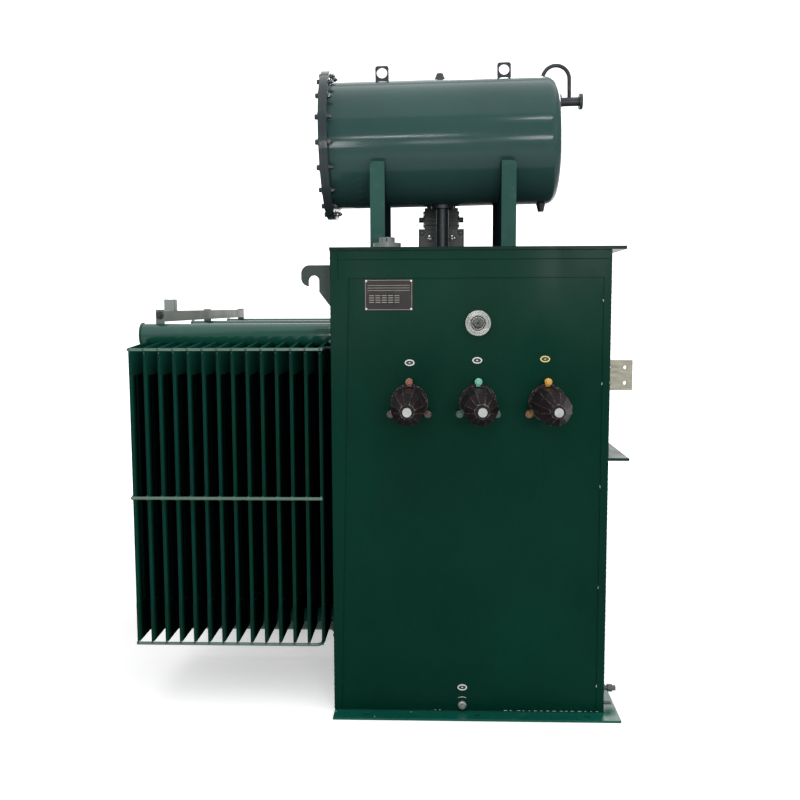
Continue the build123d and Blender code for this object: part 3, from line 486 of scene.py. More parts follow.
def ellipse(width, height, sides=32):
    """Points of an ellipse."""
    return [(width / 2 * math.cos(math.tau * i / sides), height / 2 * math.sin(math.tau * i / sides))
            for i in range(sides)]


def rectangle(width, height, x=0.0, y=0.0):
    """Corners of a rectangle round a middle point."""
    return [(x - width / 2, y - height / 2), (x + width / 2, y - height / 2),
            (x + width / 2, y + height / 2), (x - width / 2, y + height / 2)]


def hexagon(across, turn):
    """Corners of a hexagon by its width across flats."""
    radius = across / math.sqrt(3)
    return [(radius * math.cos(turn + math.tau * i / 6), radius * math.sin(turn + math.tau * i / 6))
            for i in range(6)]


# Shares of a bolt's width across flats
WASHER_SHARE, WASHER_R_SHARE = 0.14, 0.98
HEAD_SHARE, HEAD_CHAMFER_SHARE = 0.62, 0.08
STUD_R_SHARE = 0.3


def bolt(bm, place, across, stud=0.0):
    """Washer, chamfered hexagon turned by chance and, where asked, the round end of a stud."""
    washer = across * WASHER_SHARE
    rim = across * WASHER_R_SHARE
    ring = [(0, 0), (rim, 0), (rim, washer * 0.7), (rim * 0.92, washer), (0, washer)]
    lathe(bm, place, ring, WASHER_SIDES)
    head = across * HEAD_SHARE
    seat = place @ Matrix.Translation((0, 0, washer))
    prism(bm, seat, hexagon(across, rng.uniform(0, 1)), head, across * HEAD_CHAMFER_SHARE)
    if stud:
        low = washer + head
        high = low + stud
        radius = across * STUD_R_SHARE
        shank = [(0, low), (radius, low), (radius, high - radius * 0.3), (radius * 0.7, high), (0, high)]
        lathe(bm, place, shank, STUD_SIDES)


WELD_SWING_SHARE, WELD_JITTER_SHARE = 0.18, 0.12
WELD_TURN = 2.1
WELD_RISE_SHARE, WELD_END_SHARE = 0.55, 0.2
WELD_ARC = [math.radians(degrees) for degrees in (0, 45, 90, 135, 180)]


def weld(bm, start, end, out, width, step=WELD_STEP):
    """Hand-laid fillet weld between two points: a low ridge of ripples of uneven size."""
    start, end, out = Vector(start), Vector(end), Vector(out).normalized()
    run = end - start
    side = run.normalized().cross(out)
    count = max(2, int(run.length / step))
    rings = []
    for index in range(count + 1):
        swing = WELD_SWING_SHARE * (math.sin(index * WELD_TURN) - 1)
        ripple = 1 + swing + rng.uniform(-WELD_JITTER_SHARE, WELD_JITTER_SHARE)
        size = width * (ripple if 0 < index < count else WELD_END_SHARE)
        rise = size * WELD_RISE_SHARE
        middle = start + run * index / count
        rings.append([bm.verts.new(middle + side * (math.cos(a) * size) + out * (math.sin(a) * rise))
                      for a in WELD_ARC])
    for low, high in zip(rings, rings[1:]):
        for i in range(len(WELD_ARC) - 1):
            bm.faces.new([low[i], low[i + 1], high[i + 1], high[i]])
        bm.faces.new([low[-1], low[0], high[0], high[-1]])
    bm.faces.new(rings[0])
    bm.faces.new(list(reversed(rings[-1])))


def dot(bm, place, radius, height):
    """Low domed spot, such as a plug weld or a rivet."""
    dome = [(0, 0), (radius, 0), (radius * 0.86, height * 0.55), (radius * 0.45, height * 0.92), (0, height)]
    lathe(bm, place, dome, DOT_SIDES)


def finish_piece(name, bm, material, smooth=PLATE_SMOOTH):
    """Turn a built mesh into a piece that rides on the transformer."""
    bmesh.ops.recalc_face_normals(bm, faces=bm.faces)
    mesh = bpy.data.meshes.new(name)
    bm.to_mesh(mesh)
    bm.free()
    piece = bpy.data.objects.new(name, mesh)
    bpy.context.scene.collection.objects.link(piece)
    mesh.materials.append(material)
    mesh.shade_smooth()
    mesh.set_sharp_from_angle(angle=math.radians(smooth))
    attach(piece, "root")
    return piece


# Places taken from the solids

FRONT_LOW, FRONT_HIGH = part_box("front_wall")
FRONT_Y = FRONT_LOW.y
FRONT_WIDTH = FRONT_HIGH.x - FRONT_LOW.x
FRONT_HEIGHT = FRONT_HIGH.z - FRONT_LOW.z
STRIP_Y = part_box("front_frame")[0].y
STRIP_RIGHT_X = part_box("front_frame")[1].x
REAR_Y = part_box("rear_wall")[1].y
BASE_LOW, BASE_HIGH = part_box("base_plate")
RIM_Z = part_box("cover")[0].z
BUSHINGS = [middle_of(f"bushing_clamps_{side}") for side in ("left", "middle", "right")]


# Signs and clamps on the front wall

SIGN_WIDTH, SIGN_HEIGHT, SIGN_RIM, SIGN_THICK = 35 * MM, 23 * MM, 4 * MM, 2.5 * MM
SIGN_DOT_SHARE = 0.2
SIGN_DOT_RISE_SHARE, SIGN_FIELD_RISE_SHARE = 0.8, 0.5
SIGN_RISES = (122 * MM, 130 * MM, 134.5 * MM)
SIGN_SHIFTS = (1 * MM, -3 * MM, -7 * MM)
EARTH_SIGN_RISE = 66 * MM


def oval_signs():
    """Oval signs over the bushings and the earth stud: a raised rim and a dot on a bare field."""
    earth = middle_of("earth_stud")
    spots = [Vector((spot.x + shift, FRONT_Y, spot.z + rise))
             for spot, shift, rise in zip(BUSHINGS, SIGN_SHIFTS, SIGN_RISES)]
    spots.append(Vector((earth.x, FRONT_Y, earth.z + EARTH_SIGN_RISE)))
    finishes = (WHITE_ENAMEL, WHITE_ENAMEL, YELLOW_ENAMEL, WHITE_ENAMEL)
    outer = ellipse(SIGN_WIDTH, SIGN_HEIGHT)
    inner = ellipse(SIGN_WIDTH - 2 * SIGN_RIM, SIGN_HEIGHT - 2 * SIGN_RIM)
    middle_dot = ellipse(SIGN_WIDTH * SIGN_DOT_SHARE, SIGN_HEIGHT * SIGN_DOT_SHARE, DOT_SIDES)
    bare = ellipse(SIGN_WIDTH - SIGN_RIM, SIGN_HEIGHT - SIGN_RIM)
    for number, (spot, finish) in enumerate(zip(spots, finishes), 1):
        place = at(spot, -Y)
        rim = bmesh.new()
        ring_solid(rim, place, outer, inner, SIGN_THICK)
        prism(rim, place, middle_dot, SIGN_THICK * SIGN_DOT_RISE_SHARE)
        finish_piece(f"oval_sign_rim_{number}", rim, finish)
        field = bmesh.new()
        prism(field, place, bare, SIGN_THICK * SIGN_FIELD_RISE_SHARE)
        finish_piece(f"oval_sign_field_{number}", field, SLOT_MATERIALS["slate"])


# Painted shade for the lower clamps of the bushings, by slot
CLAMP_SHADE_COLOURS = {
    "clamp_copper": (0.016, 0.006, 0.004),
    "clamp_green": (0.006, 0.020, 0.016),
    "clamp_yellow": (0.10, 0.040, 0.007),
}
CLAMP_SHADE_SHARE = 0.9
CLAMP_FADE = 10 * MM


def clamp_shade():
    """Painted shade on the two lower clamps of each bushing."""
    split = BUSHINGS[0].z

    def lower(nodes, links):
        height = position(nodes, links)["Z"]
        return map_range(nodes, links, height, split - CLAMP_FADE, split, CLAMP_SHADE_SHARE, 0.0)

    for slot, colour in CLAMP_SHADE_COLOURS.items():
        tint(SLOT_MATERIALS[slot], lower, colour)


# Nameplate

RULE_WIDTH, RULE_RISE = 1.2 * MM, 0.8 * MM
BORDER_SHARES = (0.95, 0.93)
FULL_RULE_LENGTH_SHARE = 0.86
FULL_RULE_SHARES = (0.30, 0.22, 0.14)
SHORT_RULE_WIDTH = 1.6 * RULE_WIDTH
SHORT_RULE_LENGTH_SHARE = 0.10
SHORT_RULE_ROW_SHARES = (-0.02, -0.09, -0.16, -0.23)
SHORT_RULE_COLUMN_SHARES = (-0.35, -0.22, -0.09, 0.04, 0.17)
RIVET_SHARES = (0.46, 0.44)
RIVET_R, RIVET_RISE = 4 * MM, 2.6 * MM


def nameplate_rules():
    """Blank form on the rating plate: a border, full rules and a table of short rules, with four rivets."""
    low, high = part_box("nameplate")
    width, height = high.x - low.x, high.z - low.z
    middle = middle_of("nameplate")
    place = at((middle.x, low.y, middle.z), -Y)
    border_width, border_height = width * BORDER_SHARES[0], height * BORDER_SHARES[1]
    rules = bmesh.new()
    border = rectangle(border_width, border_height)
    inside = rectangle(border_width - 2 * RULE_WIDTH, border_height - 2 * RULE_WIDTH)
    ring_solid(rules, place, border, inside, RULE_RISE)
    for row in FULL_RULE_SHARES:
        full = rectangle(width * FULL_RULE_LENGTH_SHARE, RULE_WIDTH, 0, height * row)
        prism(rules, place, full, RULE_RISE)
    for row in SHORT_RULE_ROW_SHARES:
        for column in SHORT_RULE_COLUMN_SHARES:
            short = rectangle(width * SHORT_RULE_LENGTH_SHARE, SHORT_RULE_WIDTH, width * column, height * row)
            prism(rules, place, short, RULE_RISE)
    finish_piece("nameplate_rules", rules, RULE_PAINT)
    rivets = bmesh.new()
    across, rise = width * RIVET_SHARES[0], height * RIVET_SHARES[1]
    for side in (-1, 1):
        for end in (-1, 1):
            corner = Vector((middle.x + side * across, low.y, middle.z + end * rise))
            dot(rivets, at(corner, -Y), RIVET_R, RIVET_RISE)
    finish_piece("nameplate_rivets", rivets, WHITE_ENAMEL)


# Welds of the tank

FOOT_WELD, CORNER_WELD, SIDE_RIM_WELD, RIM_WELD = 6 * MM, 3 * MM, 4 * MM, 3 * MM


def wall_welds():
    """Welds along the wall foot, the corners and the rim of the tank."""
    seams = bmesh.new()
    foot_z = BASE_HIGH.z
    left, right = FRONT_LOW.x, FRONT_HIGH.x
    weld(seams, (left, STRIP_Y, foot_z), (right, STRIP_Y, foot_z), (0, -1, 1), FOOT_WELD)
    weld(seams, (left, REAR_Y, foot_z), (right, REAR_Y, foot_z), (0, 1, 1), FOOT_WELD)
    weld(seams, (right, STRIP_Y, foot_z), (right, REAR_Y, foot_z), (1, 0, 1), FOOT_WELD)
    for x, side in ((left, -1), (right, 1)):
        for y, face in ((FRONT_Y, -1), (REAR_Y, 1)):
            weld(seams, (x, y, foot_z), (x, y, RIM_Z), (side, face, 0), CORNER_WELD)
        weld(seams, (x, FRONT_Y, RIM_Z), (x, REAR_Y, RIM_Z), (side, 0, -1), SIDE_RIM_WELD)
    for y, face in ((STRIP_Y, -1), (REAR_Y, 1)):
        weld(seams, (left, y, RIM_Z), (right, y, RIM_Z), (0, face, -1), RIM_WELD)
    finish_piece("tank_welds", seams, SLOT_MATERIALS["tank_green"], WELD_SMOOTH)


STITCH_HEIGHT_SHARES = (0.059, 0.280, 0.499, 0.721, 0.893)
STITCH_LENGTH, STITCH_WIDTH, STITCH_BACK = 12 * MM, 2.6 * MM, 2 * MM
RIGHT_STRIP = 26 * MM


def stitch_marks():
    """Short bright stitch welds down the right-hand edge strip."""
    marks = bmesh.new()
    for share in STITCH_HEIGHT_SHARES:
        lean = rng.uniform(-0.5, 0.5) * STITCH_LENGTH
        z = FRONT_LOW.z + FRONT_HEIGHT * share
        middle = Vector((STRIP_RIGHT_X - RIGHT_STRIP, STRIP_Y + STITCH_BACK, z))
        half = Vector((lean / 2, 0, STITCH_LENGTH / 2))
        weld(marks, middle - half, middle + half, -Y, STITCH_WIDTH, FINE_STEP)
    finish_piece("stitch_welds", marks, WHITE_ENAMEL, WELD_SMOOTH)


BEAD_START_SHARE, BEAD_END_SHARE = 0.63, 0.985
LONE_BEAD_SHARES = (0.372, 0.39)
BEAD_LENGTH, BEAD_GAP, BEAD_WIDTH = 13 * MM, 9 * MM, 1.7 * MM
BEAD_LIFT, BEAD_OUT = 5 * MM, 4 * MM
SPATTER_SPOTS = ((6 * MM, 20 * MM), (151 * MM, 60 * MM), (283 * MM, 18 * MM))
SPATTER_R, SPATTER_RISE = 2.6 * MM, 1.6 * MM


def foot_beads():
    """Weld beads along the wall foot, pale as painted highlights, and drops of spatter on the base flange."""
    beads = bmesh.new()
    starts = [FRONT_LOW.x + FRONT_WIDTH * share for share in LONE_BEAD_SHARES]
    x = FRONT_LOW.x + FRONT_WIDTH * BEAD_START_SHARE
    while x < FRONT_LOW.x + FRONT_WIDTH * BEAD_END_SHARE:
        starts.append(x)
        x += (BEAD_LENGTH + BEAD_GAP) * rng.uniform(0.75, 1.25)
    for x in starts:
        length = BEAD_LENGTH * rng.uniform(0.5, 1.15)
        first = Vector((x, STRIP_Y - BEAD_OUT, BASE_HIGH.z + BEAD_LIFT))
        weld(beads, first, first + X * length, (0, -1, 1), BEAD_WIDTH, FINE_STEP)
    for along, out in SPATTER_SPOTS:
        spot = Vector((FRONT_LOW.x + along, FRONT_Y - out, BASE_HIGH.z))
        dot(beads, at(spot, Z, Y), SPATTER_R, SPATTER_RISE)
    finish_piece("foot_beads", beads, BEAD_PAINT, WELD_SMOOTH)


RIM_SEAM_DROP, RIM_SEAM_INSET, RIM_SEAM_FOOT = 32 * MM, 27 * MM, 95 * MM
RIM_SEAM_WIDTH, RIM_SEAM_STEP = 1.6 * MM, 20 * MM


def rim_seam():
    """Pressed line along the rim band, turned down at its left end."""
    seam = bmesh.new()
    top = Vector((FRONT_LOW.x + RIM_SEAM_INSET, STRIP_Y, RIM_Z))
    start = top - Z * RIM_SEAM_DROP
    weld(seam, start, (FRONT_HIGH.x, start.y, start.z), -Y, RIM_SEAM_WIDTH, RIM_SEAM_STEP)
    weld(seam, top, top - Z * RIM_SEAM_FOOT, -Y, RIM_SEAM_WIDTH, RIM_SEAM_STEP)
    finish_piece("rim_seam", seam, SLOT_MATERIALS["tank_green"], WELD_SMOOTH)


# Oil port and earth stud

PORT_SIDES = 40
PORT_RING_R, PORT_RING_WIDTH = 12 * MM, 2 * MM
PORT_RING_EDGE, PORT_RING_RISE = 1 * MM, 1.6 * MM
PORT_BOSS_R, PORT_BOSS_TOP_SHARE, PORT_BOSS_RISE = 19.5 * MM, 0.96, 0.5 * MM
PORT_EYE_R, PORT_EYE_TOP_SHARE, PORT_EYE_RISE = 4.5 * MM, 0.9, 1.2 * MM


def port_details():
    """Turned ring, low boss and a dark eye on the middle of the oil port."""
    middle = middle_of("oil_port")
    face = at((middle.x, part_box("oil_port")[0].y, middle.z), -Y)
    ring = bmesh.new()
    inner, outer = PORT_RING_R - PORT_RING_WIDTH, PORT_RING_R
    profile = [(inner, 0), (outer, 0), (outer, PORT_RING_EDGE), (inner, PORT_RING_RISE), (inner, 0)]
    lathe(ring, face, profile, PORT_SIDES)
    finish_piece("port_ring", ring, TURNED_STEEL)
    boss = bmesh.new()
    disc(boss, face, PORT_BOSS_R, PORT_BOSS_TOP_SHARE, PORT_BOSS_RISE, PORT_SIDES)
    finish_piece("port_boss", boss, DULL_STEEL)
    eye = bmesh.new()
    disc(eye, face, PORT_EYE_R, PORT_EYE_TOP_SHARE, PORT_EYE_RISE)
    finish_piece("port_eye", eye, DARK_SLOT)


EARTH_PAD, EARTH_BOLT = 10 * MM, 15 * MM
EARTH_ARC_R, EARTH_ARC_WIDTH = 29 * MM, 1.8 * MM
EARTH_ARC_DEGREES = range(60, 121, 10)


def earth_details():
    """Bolt and washer on the earth pad, under a small painted arc."""
    middle = middle_of("earth_stud")
    nut = bmesh.new()
    bolt(nut, at((middle.x, FRONT_Y - EARTH_PAD, middle.z), -Y), EARTH_BOLT)
    finish_piece("earth_nut", nut, SLOT_MATERIALS["bright_steel"])
    arc = bmesh.new()
    turns = [math.radians(degrees) for degrees in EARTH_ARC_DEGREES]
    spots = [Vector((middle.x + EARTH_ARC_R * math.cos(a), FRONT_Y, middle.z + EARTH_ARC_R * math.sin(a)))
             for a in turns]
    for first, second in zip(spots, spots[1:]):
        weld(arc, first, second, -Y, EARTH_ARC_WIDTH, FINE_STEP)
    finish_piece("earth_arc", arc, WHITE_ENAMEL, WELD_SMOOTH)


# Conservator

CONSERVATOR_TILT = math.radians(1.0)
CONSERVATOR_BOLTS, CONSERVATOR_TURN_SHARE = 18, 0.27
CONSERVATOR_BOLT, CONSERVATOR_NUT, CONSERVATOR_STUD = 17 * MM, 15 * MM, 5 * MM
BOLT_CIRCLE_R = 261 * MM
END_COVER, END_FLANGE = 18 * MM, 14 * MM
SHELL_R = 238 * MM


def conservator_place():
    """Frame of the conservator: local X along its sloping axis, from the middle of the end cover."""
    place = Matrix.Rotation(-CONSERVATOR_TILT, 4, "Y")
    place.translation = middle_of("conservator_cover")
    return place


def conservator_details():
    """Bolts round the end cover with nuts and stud ends behind the flange."""
    place = conservator_place()
    fasteners = bmesh.new()
    nuts = bmesh.new()
    for index in range(CONSERVATOR_BOLTS):
        angle = math.tau * (index + CONSERVATOR_TURN_SHARE) / CONSERVATOR_BOLTS
        arm = Vector((0, BOLT_CIRCLE_R * math.cos(angle), BOLT_CIRCLE_R * math.sin(angle)))
        bolt(fasteners, place @ at(arm - X * END_COVER / 2, -X), CONSERVATOR_BOLT)
        bolt(nuts, place @ at(arm + X * (END_COVER / 2 + END_FLANGE), X), CONSERVATOR_NUT, CONSERVATOR_STUD)
    finish_piece("conservator_bolts", fasteners, SLOT_MATERIALS["slate"])
    finish_piece("conservator_nuts", nuts, NUT_STEEL)


# Painted shade on the rim of the end cover and its flange
FLANGE_SHADE_COLOUR = (0.024, 0.034, 0.037)
FLANGE_FADE_START, FLANGE_FADE_END = 0.5 * MM, 1.5 * MM


def conservator_flange_shade():
    """Painted shade round the rim of the end cover and the flange that it is bolted to; the flat face of the
    cover keeps the green.
    """
    place = conservator_place()
    axis = place.to_3x3() @ X
    reach = place.translation.dot(axis) + END_COVER / 2 + END_FLANGE

    def flange(nodes, links):
        geometry = nodes.new("ShaderNodeNewGeometry")
        along = nodes.new("ShaderNodeVectorMath")
        along.operation = "DOT_PRODUCT"
        along.inputs[1].default_value = axis
        links.new(geometry.outputs["Position"], along.inputs[0])
        start, end = reach + FLANGE_FADE_START, reach + FLANGE_FADE_END
        near = map_range(nodes, links, along.outputs["Value"], start, end, 1.0, 0.0)
        face = math_node(nodes, links, "SUBTRACT", near, facing(nodes, links, "X", 0.85, 0.95))
        return math_node(nodes, links, "MAXIMUM", face, 0.0)

    tint(SLOT_MATERIALS["conservator_green"], flange, FLANGE_SHADE_COLOUR)


LEVEL_MARK_DEGREES = (39, 46, 53, 61, 71)
LEVEL_MARK_X = 129 * MM
LEVEL_MARK_LENGTH, LEVEL_MARK_WIDTH, LEVEL_MARK_STEP = 20 * MM, 1.1 * MM, 4 * MM


def level_marks():
    """Short painted ticks low on the front of the shell."""
    place = conservator_place()
    half = place.to_3x3() @ X * LEVEL_MARK_LENGTH / 2
    ticks = bmesh.new()
    for degrees in LEVEL_MARK_DEGREES:
        angle = math.pi + math.radians(degrees)
        arm = Vector((0, SHELL_R * math.cos(angle), SHELL_R * math.sin(angle)))
        spot = place @ (arm + X * LEVEL_MARK_X)
        weld(ticks, spot - half, spot + half, place.to_3x3() @ arm, LEVEL_MARK_WIDTH, LEVEL_MARK_STEP)
    finish_piece("level_ticks", ticks, TICK_PAINT, WELD_SMOOTH)


# Radiators

PANEL_COUNT, PANEL_THICK = 14, 11 * MM
TOP_SPOT_R, TOP_SPOT_RISE, TOP_SPOT_OUT, TOP_SPOT_DROP = 4.2 * MM, 2.4 * MM, 5.2 * MM, 5 * MM
GLINT_R, GLINT_RISE, GLINT_SIDE, GLINT_IN, GLINT_DROP = 2.4 * MM, 1.6 * MM, 1.3 * MM, 4 * MM, 18 * MM
ROD_DROP = 551 * MM
ROD_SPOT_R, ROD_SPOT_RISE, ROD_SPOT_OUT, ROD_SPOT_OFFSET = 4.5 * MM, 4 * MM, 2 * MM, 6 * MM
FOOT_SPOT_R, FOOT_SPOT_RISE, FOOT_SPOT_LIFT = 4.5 * MM, 3 * MM, 12 * MM
ROD_SPOT_LEAN, FOOT_SPOT_LEAN = 0.8, 0.3


def panel_spots(spots, glints, number):
    """Spot welds and glints where the bars and the rod of one radiator cross its panel edges."""
    low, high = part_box(f"radiator_{number}_panels")
    foot_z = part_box(f"radiator_{number}_bars")[0].z + FOOT_SPOT_LIFT
    top_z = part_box(f"radiator_{number}_bars")[1].z
    pitch = (high.x - low.x - PANEL_THICK) / (PANEL_COUNT - 1)
    for index in range(PANEL_COUNT):
        x = low.x + PANEL_THICK / 2 + index * pitch
        for y, face in ((low.y, -1), (high.y, 1)):
            top = Vector((x, y + face * TOP_SPOT_OUT, top_z - TOP_SPOT_DROP))
            dot(spots, at(top, (0, face, 0)), TOP_SPOT_R, TOP_SPOT_RISE)
            for side in (-1, 1):
                glint = Vector((x + side * GLINT_SIDE, y - face * GLINT_IN, top_z - GLINT_DROP))
                dot(glints, at(glint, (side, 0, 0)), GLINT_R, GLINT_RISE)
                rod = Vector((x, y + face * ROD_SPOT_OUT, top_z - ROD_DROP + side * ROD_SPOT_OFFSET))
                dot(spots, at(rod, (0, face, side * ROD_SPOT_LEAN)), ROD_SPOT_R, ROD_SPOT_RISE)
            dot(spots, at((x, y, foot_z), (0, face, FOOT_SPOT_LEAN)), FOOT_SPOT_R, FOOT_SPOT_RISE)


PIPE_CAP_R = 49 * MM
FLANGE_BOLTS, FLANGE_BOLT_CIRCLE_R = 8, 64 * MM
FLANGE_BOLT, FLANGE_STUD = 17 * MM, 5 * MM


def flange_bolts(fasteners, number):
    """Bolts round the two wall flanges of one radiator."""
    low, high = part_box(f"radiator_{number}_headers")
    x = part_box("radiator_flanges")[0].x
    for z in (high.z - PIPE_CAP_R, low.z + PIPE_CAP_R):
        middle = Vector((x, (low.y + high.y) / 2, z))
        for index in range(FLANGE_BOLTS):
            angle = math.tau * (index + 0.5) / FLANGE_BOLTS
            arm = Vector((0, math.cos(angle), math.sin(angle))) * FLANGE_BOLT_CIRCLE_R
            bolt(fasteners, at(middle + arm, -X), FLANGE_BOLT, FLANGE_STUD)


def radiator_details():
    """Spot welds, glints and flange bolts of all the radiators."""
    spots = bmesh.new()
    glints = bmesh.new()
    fasteners = bmesh.new()
    for number in RADIATORS:
        panel_spots(spots, glints, number)
        flange_bolts(fasteners, number)
    finish_piece("radiator_glints", glints, SLOT_MATERIALS["bright_steel"], WELD_SMOOTH)
    green = SLOT_MATERIALS["radiator_green"]
    finish_piece("radiator_spot_welds", spots, green, WELD_SMOOTH)
    finish_piece("radiator_flange_bolts", fasteners, SLOT_MATERIALS["grey_green"])


BEAM_BOLT, BEAM_BOLT_DROP, BEAM_BOLT_OUT = 16 * MM, 22 * MM, 5 * MM
LID_SHARE, LID_THICK, LID_CHAMFER = 0.92, 3 * MM, 1 * MM
LID_SCREW_SHARE, LID_SCREW_R, LID_SCREW_RISE = 0.36, 2.6 * MM, 1.6 * MM


def beam_details():
    """Bolts that hold the tie beam to its brackets, and the lid of the small box."""
    beam = middle_of("tie_beam")
    bolt_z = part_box("tie_beam")[1].z - BEAM_BOLT_DROP
    fasteners = bmesh.new()
    for number in RADIATORS:
        spot = Vector((beam.x, middle_of(f"radiator_{number}_headers").y, bolt_z))
        for face in (-1, 1):
            bolt(fasteners, at(spot + Y * face * BEAM_BOLT_OUT, Y * face), BEAM_BOLT)
    finish_piece("beam_bolts", fasteners, SLOT_MATERIALS["slate"])
    low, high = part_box("beam_box")
    middle, size = (low + high) / 2, high - low
    top = at((middle.x, middle.y, high.z), Z, Y)
    lid = bmesh.new()
    prism(lid, top, rectangle(size.x * LID_SHARE, size.y * LID_SHARE), LID_THICK, LID_CHAMFER)
    for side in (-1, 1):
        for end in (-1, 1):
            corner = Vector((side * size.x * LID_SCREW_SHARE, end * size.y * LID_SCREW_SHARE, LID_THICK))
            dot(lid, top @ Matrix.Translation(corner), LID_SCREW_R, LID_SCREW_RISE)
    finish_piece("beam_box_lid", lid, SLOT_MATERIALS["pale_grey"])


# Pipe, relay and relief cap on the cover

PIPE_BOLTS, PIPE_BOLT_CIRCLE_R, PIPE_FLANGE = 4, 34 * MM, 10 * MM
PIPE_BOLT, PIPE_STUD = 12 * MM, 4 * MM


def pipe_flange_nuts():
    """Nuts on the foot flange of the oil pipe."""
    middle = middle_of("oil_pipe")
    middle.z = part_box("oil_pipe")[0].z + PIPE_FLANGE
    fasteners = bmesh.new()
    for index in range(PIPE_BOLTS):
        angle = math.tau * (index + 0.5) / PIPE_BOLTS
        arm = Vector((math.cos(angle), math.sin(angle), 0)) * PIPE_BOLT_CIRCLE_R
        bolt(fasteners, at(middle + arm, Z, Y), PIPE_BOLT, PIPE_STUD)
    finish_piece("cover_fasteners", fasteners, SLOT_MATERIALS["bright_steel"])


RELAY_SIDES = 28
GLASS_R, GLASS_TOP_R, GLASS_EDGE, GLASS_RISE = 11 * MM, 10 * MM, 1.4 * MM, 2.2 * MM
GLASS_RIM_R, GLASS_RIM_RISE = 15 * MM, 3 * MM
GLASS_OFFSET, GLASS_LIFT = 46 * MM, 70 * MM
RELAY_BOLT, RELAY_BOLT_OFFSET, RELAY_BOLT_BACK = 11 * MM, 78 * MM, 8 * MM
RELAY_BOLT_LIFTS = (22 * MM, 88 * MM)


def relay_details():
    """Sight glasses in their rims on the front of the gas relay, and the bolts of its body."""
    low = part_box("gas_relay")[0]
    centre_x = middle_of("gas_relay").x
    foot, top = [(GLASS_R, 0), (GLASS_RIM_R, 0)], [(GLASS_RIM_R, GLASS_RIM_RISE), (GLASS_R, GLASS_RIM_RISE)]
    rim = foot + top + foot[:1]
    lens = [(0, 0), (GLASS_R, 0), (GLASS_TOP_R, GLASS_EDGE), (0, GLASS_RISE)]
    glasses = bmesh.new()
    rims = bmesh.new()
    for side in (-1, 1):
        face = at((centre_x + side * GLASS_OFFSET, low.y, low.z + GLASS_LIFT), -Y)
        lathe(rims, face, rim, RELAY_SIDES)
        lathe(glasses, face, lens, RELAY_SIDES)
        for lift in RELAY_BOLT_LIFTS:
            spot = (centre_x + side * RELAY_BOLT_OFFSET, low.y + RELAY_BOLT_BACK, low.z + lift)
            bolt(rims, at(spot, -Y), RELAY_BOLT)
    finish_piece("relay_rims", rims, SLOT_MATERIALS["fitting_grey"])
    finish_piece("relay_glasses", glasses, SIGHT_GLASS)


SLOT_WIDTH, SLOT_HEIGHT, SLOT_RISE = 4 * MM, 12 * MM, 1.2 * MM
SLOT_OUT, SLOT_DROP = 28 * MM, 10 * MM


def relief_slot():
    """Dark slot on the front of the relief cap."""
    middle = middle_of("relief_valve")
    face = at((middle.x, middle.y - SLOT_OUT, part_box("relief_valve")[1].z - SLOT_DROP), -Y)
    slot = bmesh.new()
    prism(slot, face, rectangle(SLOT_WIDTH, SLOT_HEIGHT), SLOT_RISE)
    finish_piece("relief_slot", slot, DARK_SLOT)


# Low-voltage side

LV_BOLT, LV_BOLT_COLUMNS = 17 * MM, 10
LV_BOLT_EDGE, LV_BOLT_END = 22 * MM, 40 * MM
SHELF_THICK, SHELF_WELD = 11 * MM, 6 * MM


def low_voltage_details():
    """Bolts round the insulating panel and a bead above and below the shelf."""
    low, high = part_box("lv_panel")
    run = high.y - low.y - 2 * LV_BOLT_END
    fasteners = bmesh.new()
    for z in (low.z + LV_BOLT_EDGE, high.z - LV_BOLT_EDGE):
        for index in range(LV_BOLT_COLUMNS):
            y = low.y + LV_BOLT_END + run * index / (LV_BOLT_COLUMNS - 1)
            bolt(fasteners, at((high.x, y, z), X), LV_BOLT)
    finish_piece("lv_panel_bolts", fasteners, SLOT_MATERIALS["bright_steel"])
    low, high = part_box("side_shelf")
    seam = bmesh.new()
    for z, side in ((high.z, 1), (high.z - SHELF_THICK, -1)):
        weld(seam, (low.x, low.y, z), (low.x, high.y, z), (1, 0, side), SHELF_WELD)
    finish_piece("shelf_weld", seam, SLOT_MATERIALS["tank_green"], WELD_SMOOTH)


# Stage

FLOOR_HALF, FLOOR_FRONT, FLOOR_BACK = 14.0, -14.0, 9.0
BACKDROP_TOP, BACKDROP_BEND = 12.0, 3.0
FLOOR_GLOW_NEAR, FLOOR_GLOW_FAR = 0.42, 1.0
GLOW_START, GLOW_END = 2.2, 5.0
FLOOR_COLOURS = ((0.76, 0.76, 0.76), (0.80, 0.80, 0.80))
# Painted shadow on the floor under the base plate
UNDER_BASE_SHADOW_COLOUR = (0.02, 0.02, 0.02)
UNDER_BASE_EDGE = 4 * MM


def stage():
    """Pale floor that runs up into a backdrop far behind."""
    foot = FLOOR_BACK - BACKDROP_BEND
    turns = [math.radians(degrees) for degrees in range(10, 91, 10)]
    profile = [(FLOOR_FRONT, 0.0), (foot, 0.0)]
    profile += [(foot + BACKDROP_BEND * math.sin(a), BACKDROP_BEND - BACKDROP_BEND * math.cos(a))
                for a in turns]
    profile.append((FLOOR_BACK, BACKDROP_TOP))
    bm = bmesh.new()
    rows = [[bm.verts.new((x, y, z)) for y, z in profile] for x in (-FLOOR_HALF, FLOOR_HALF)]
    for index in range(len(profile) - 1):
        bm.faces.new([rows[0][index], rows[1][index], rows[1][index + 1], rows[0][index + 1]])
    mesh = bpy.data.meshes.new("studio_floor")
    bm.to_mesh(mesh)
    bm.free()
    floor = bpy.data.objects.new("studio_floor", mesh)
    bpy.context.scene.collection.objects.link(floor)
    mesh.shade_smooth()
    mesh.materials.append(floor_material())


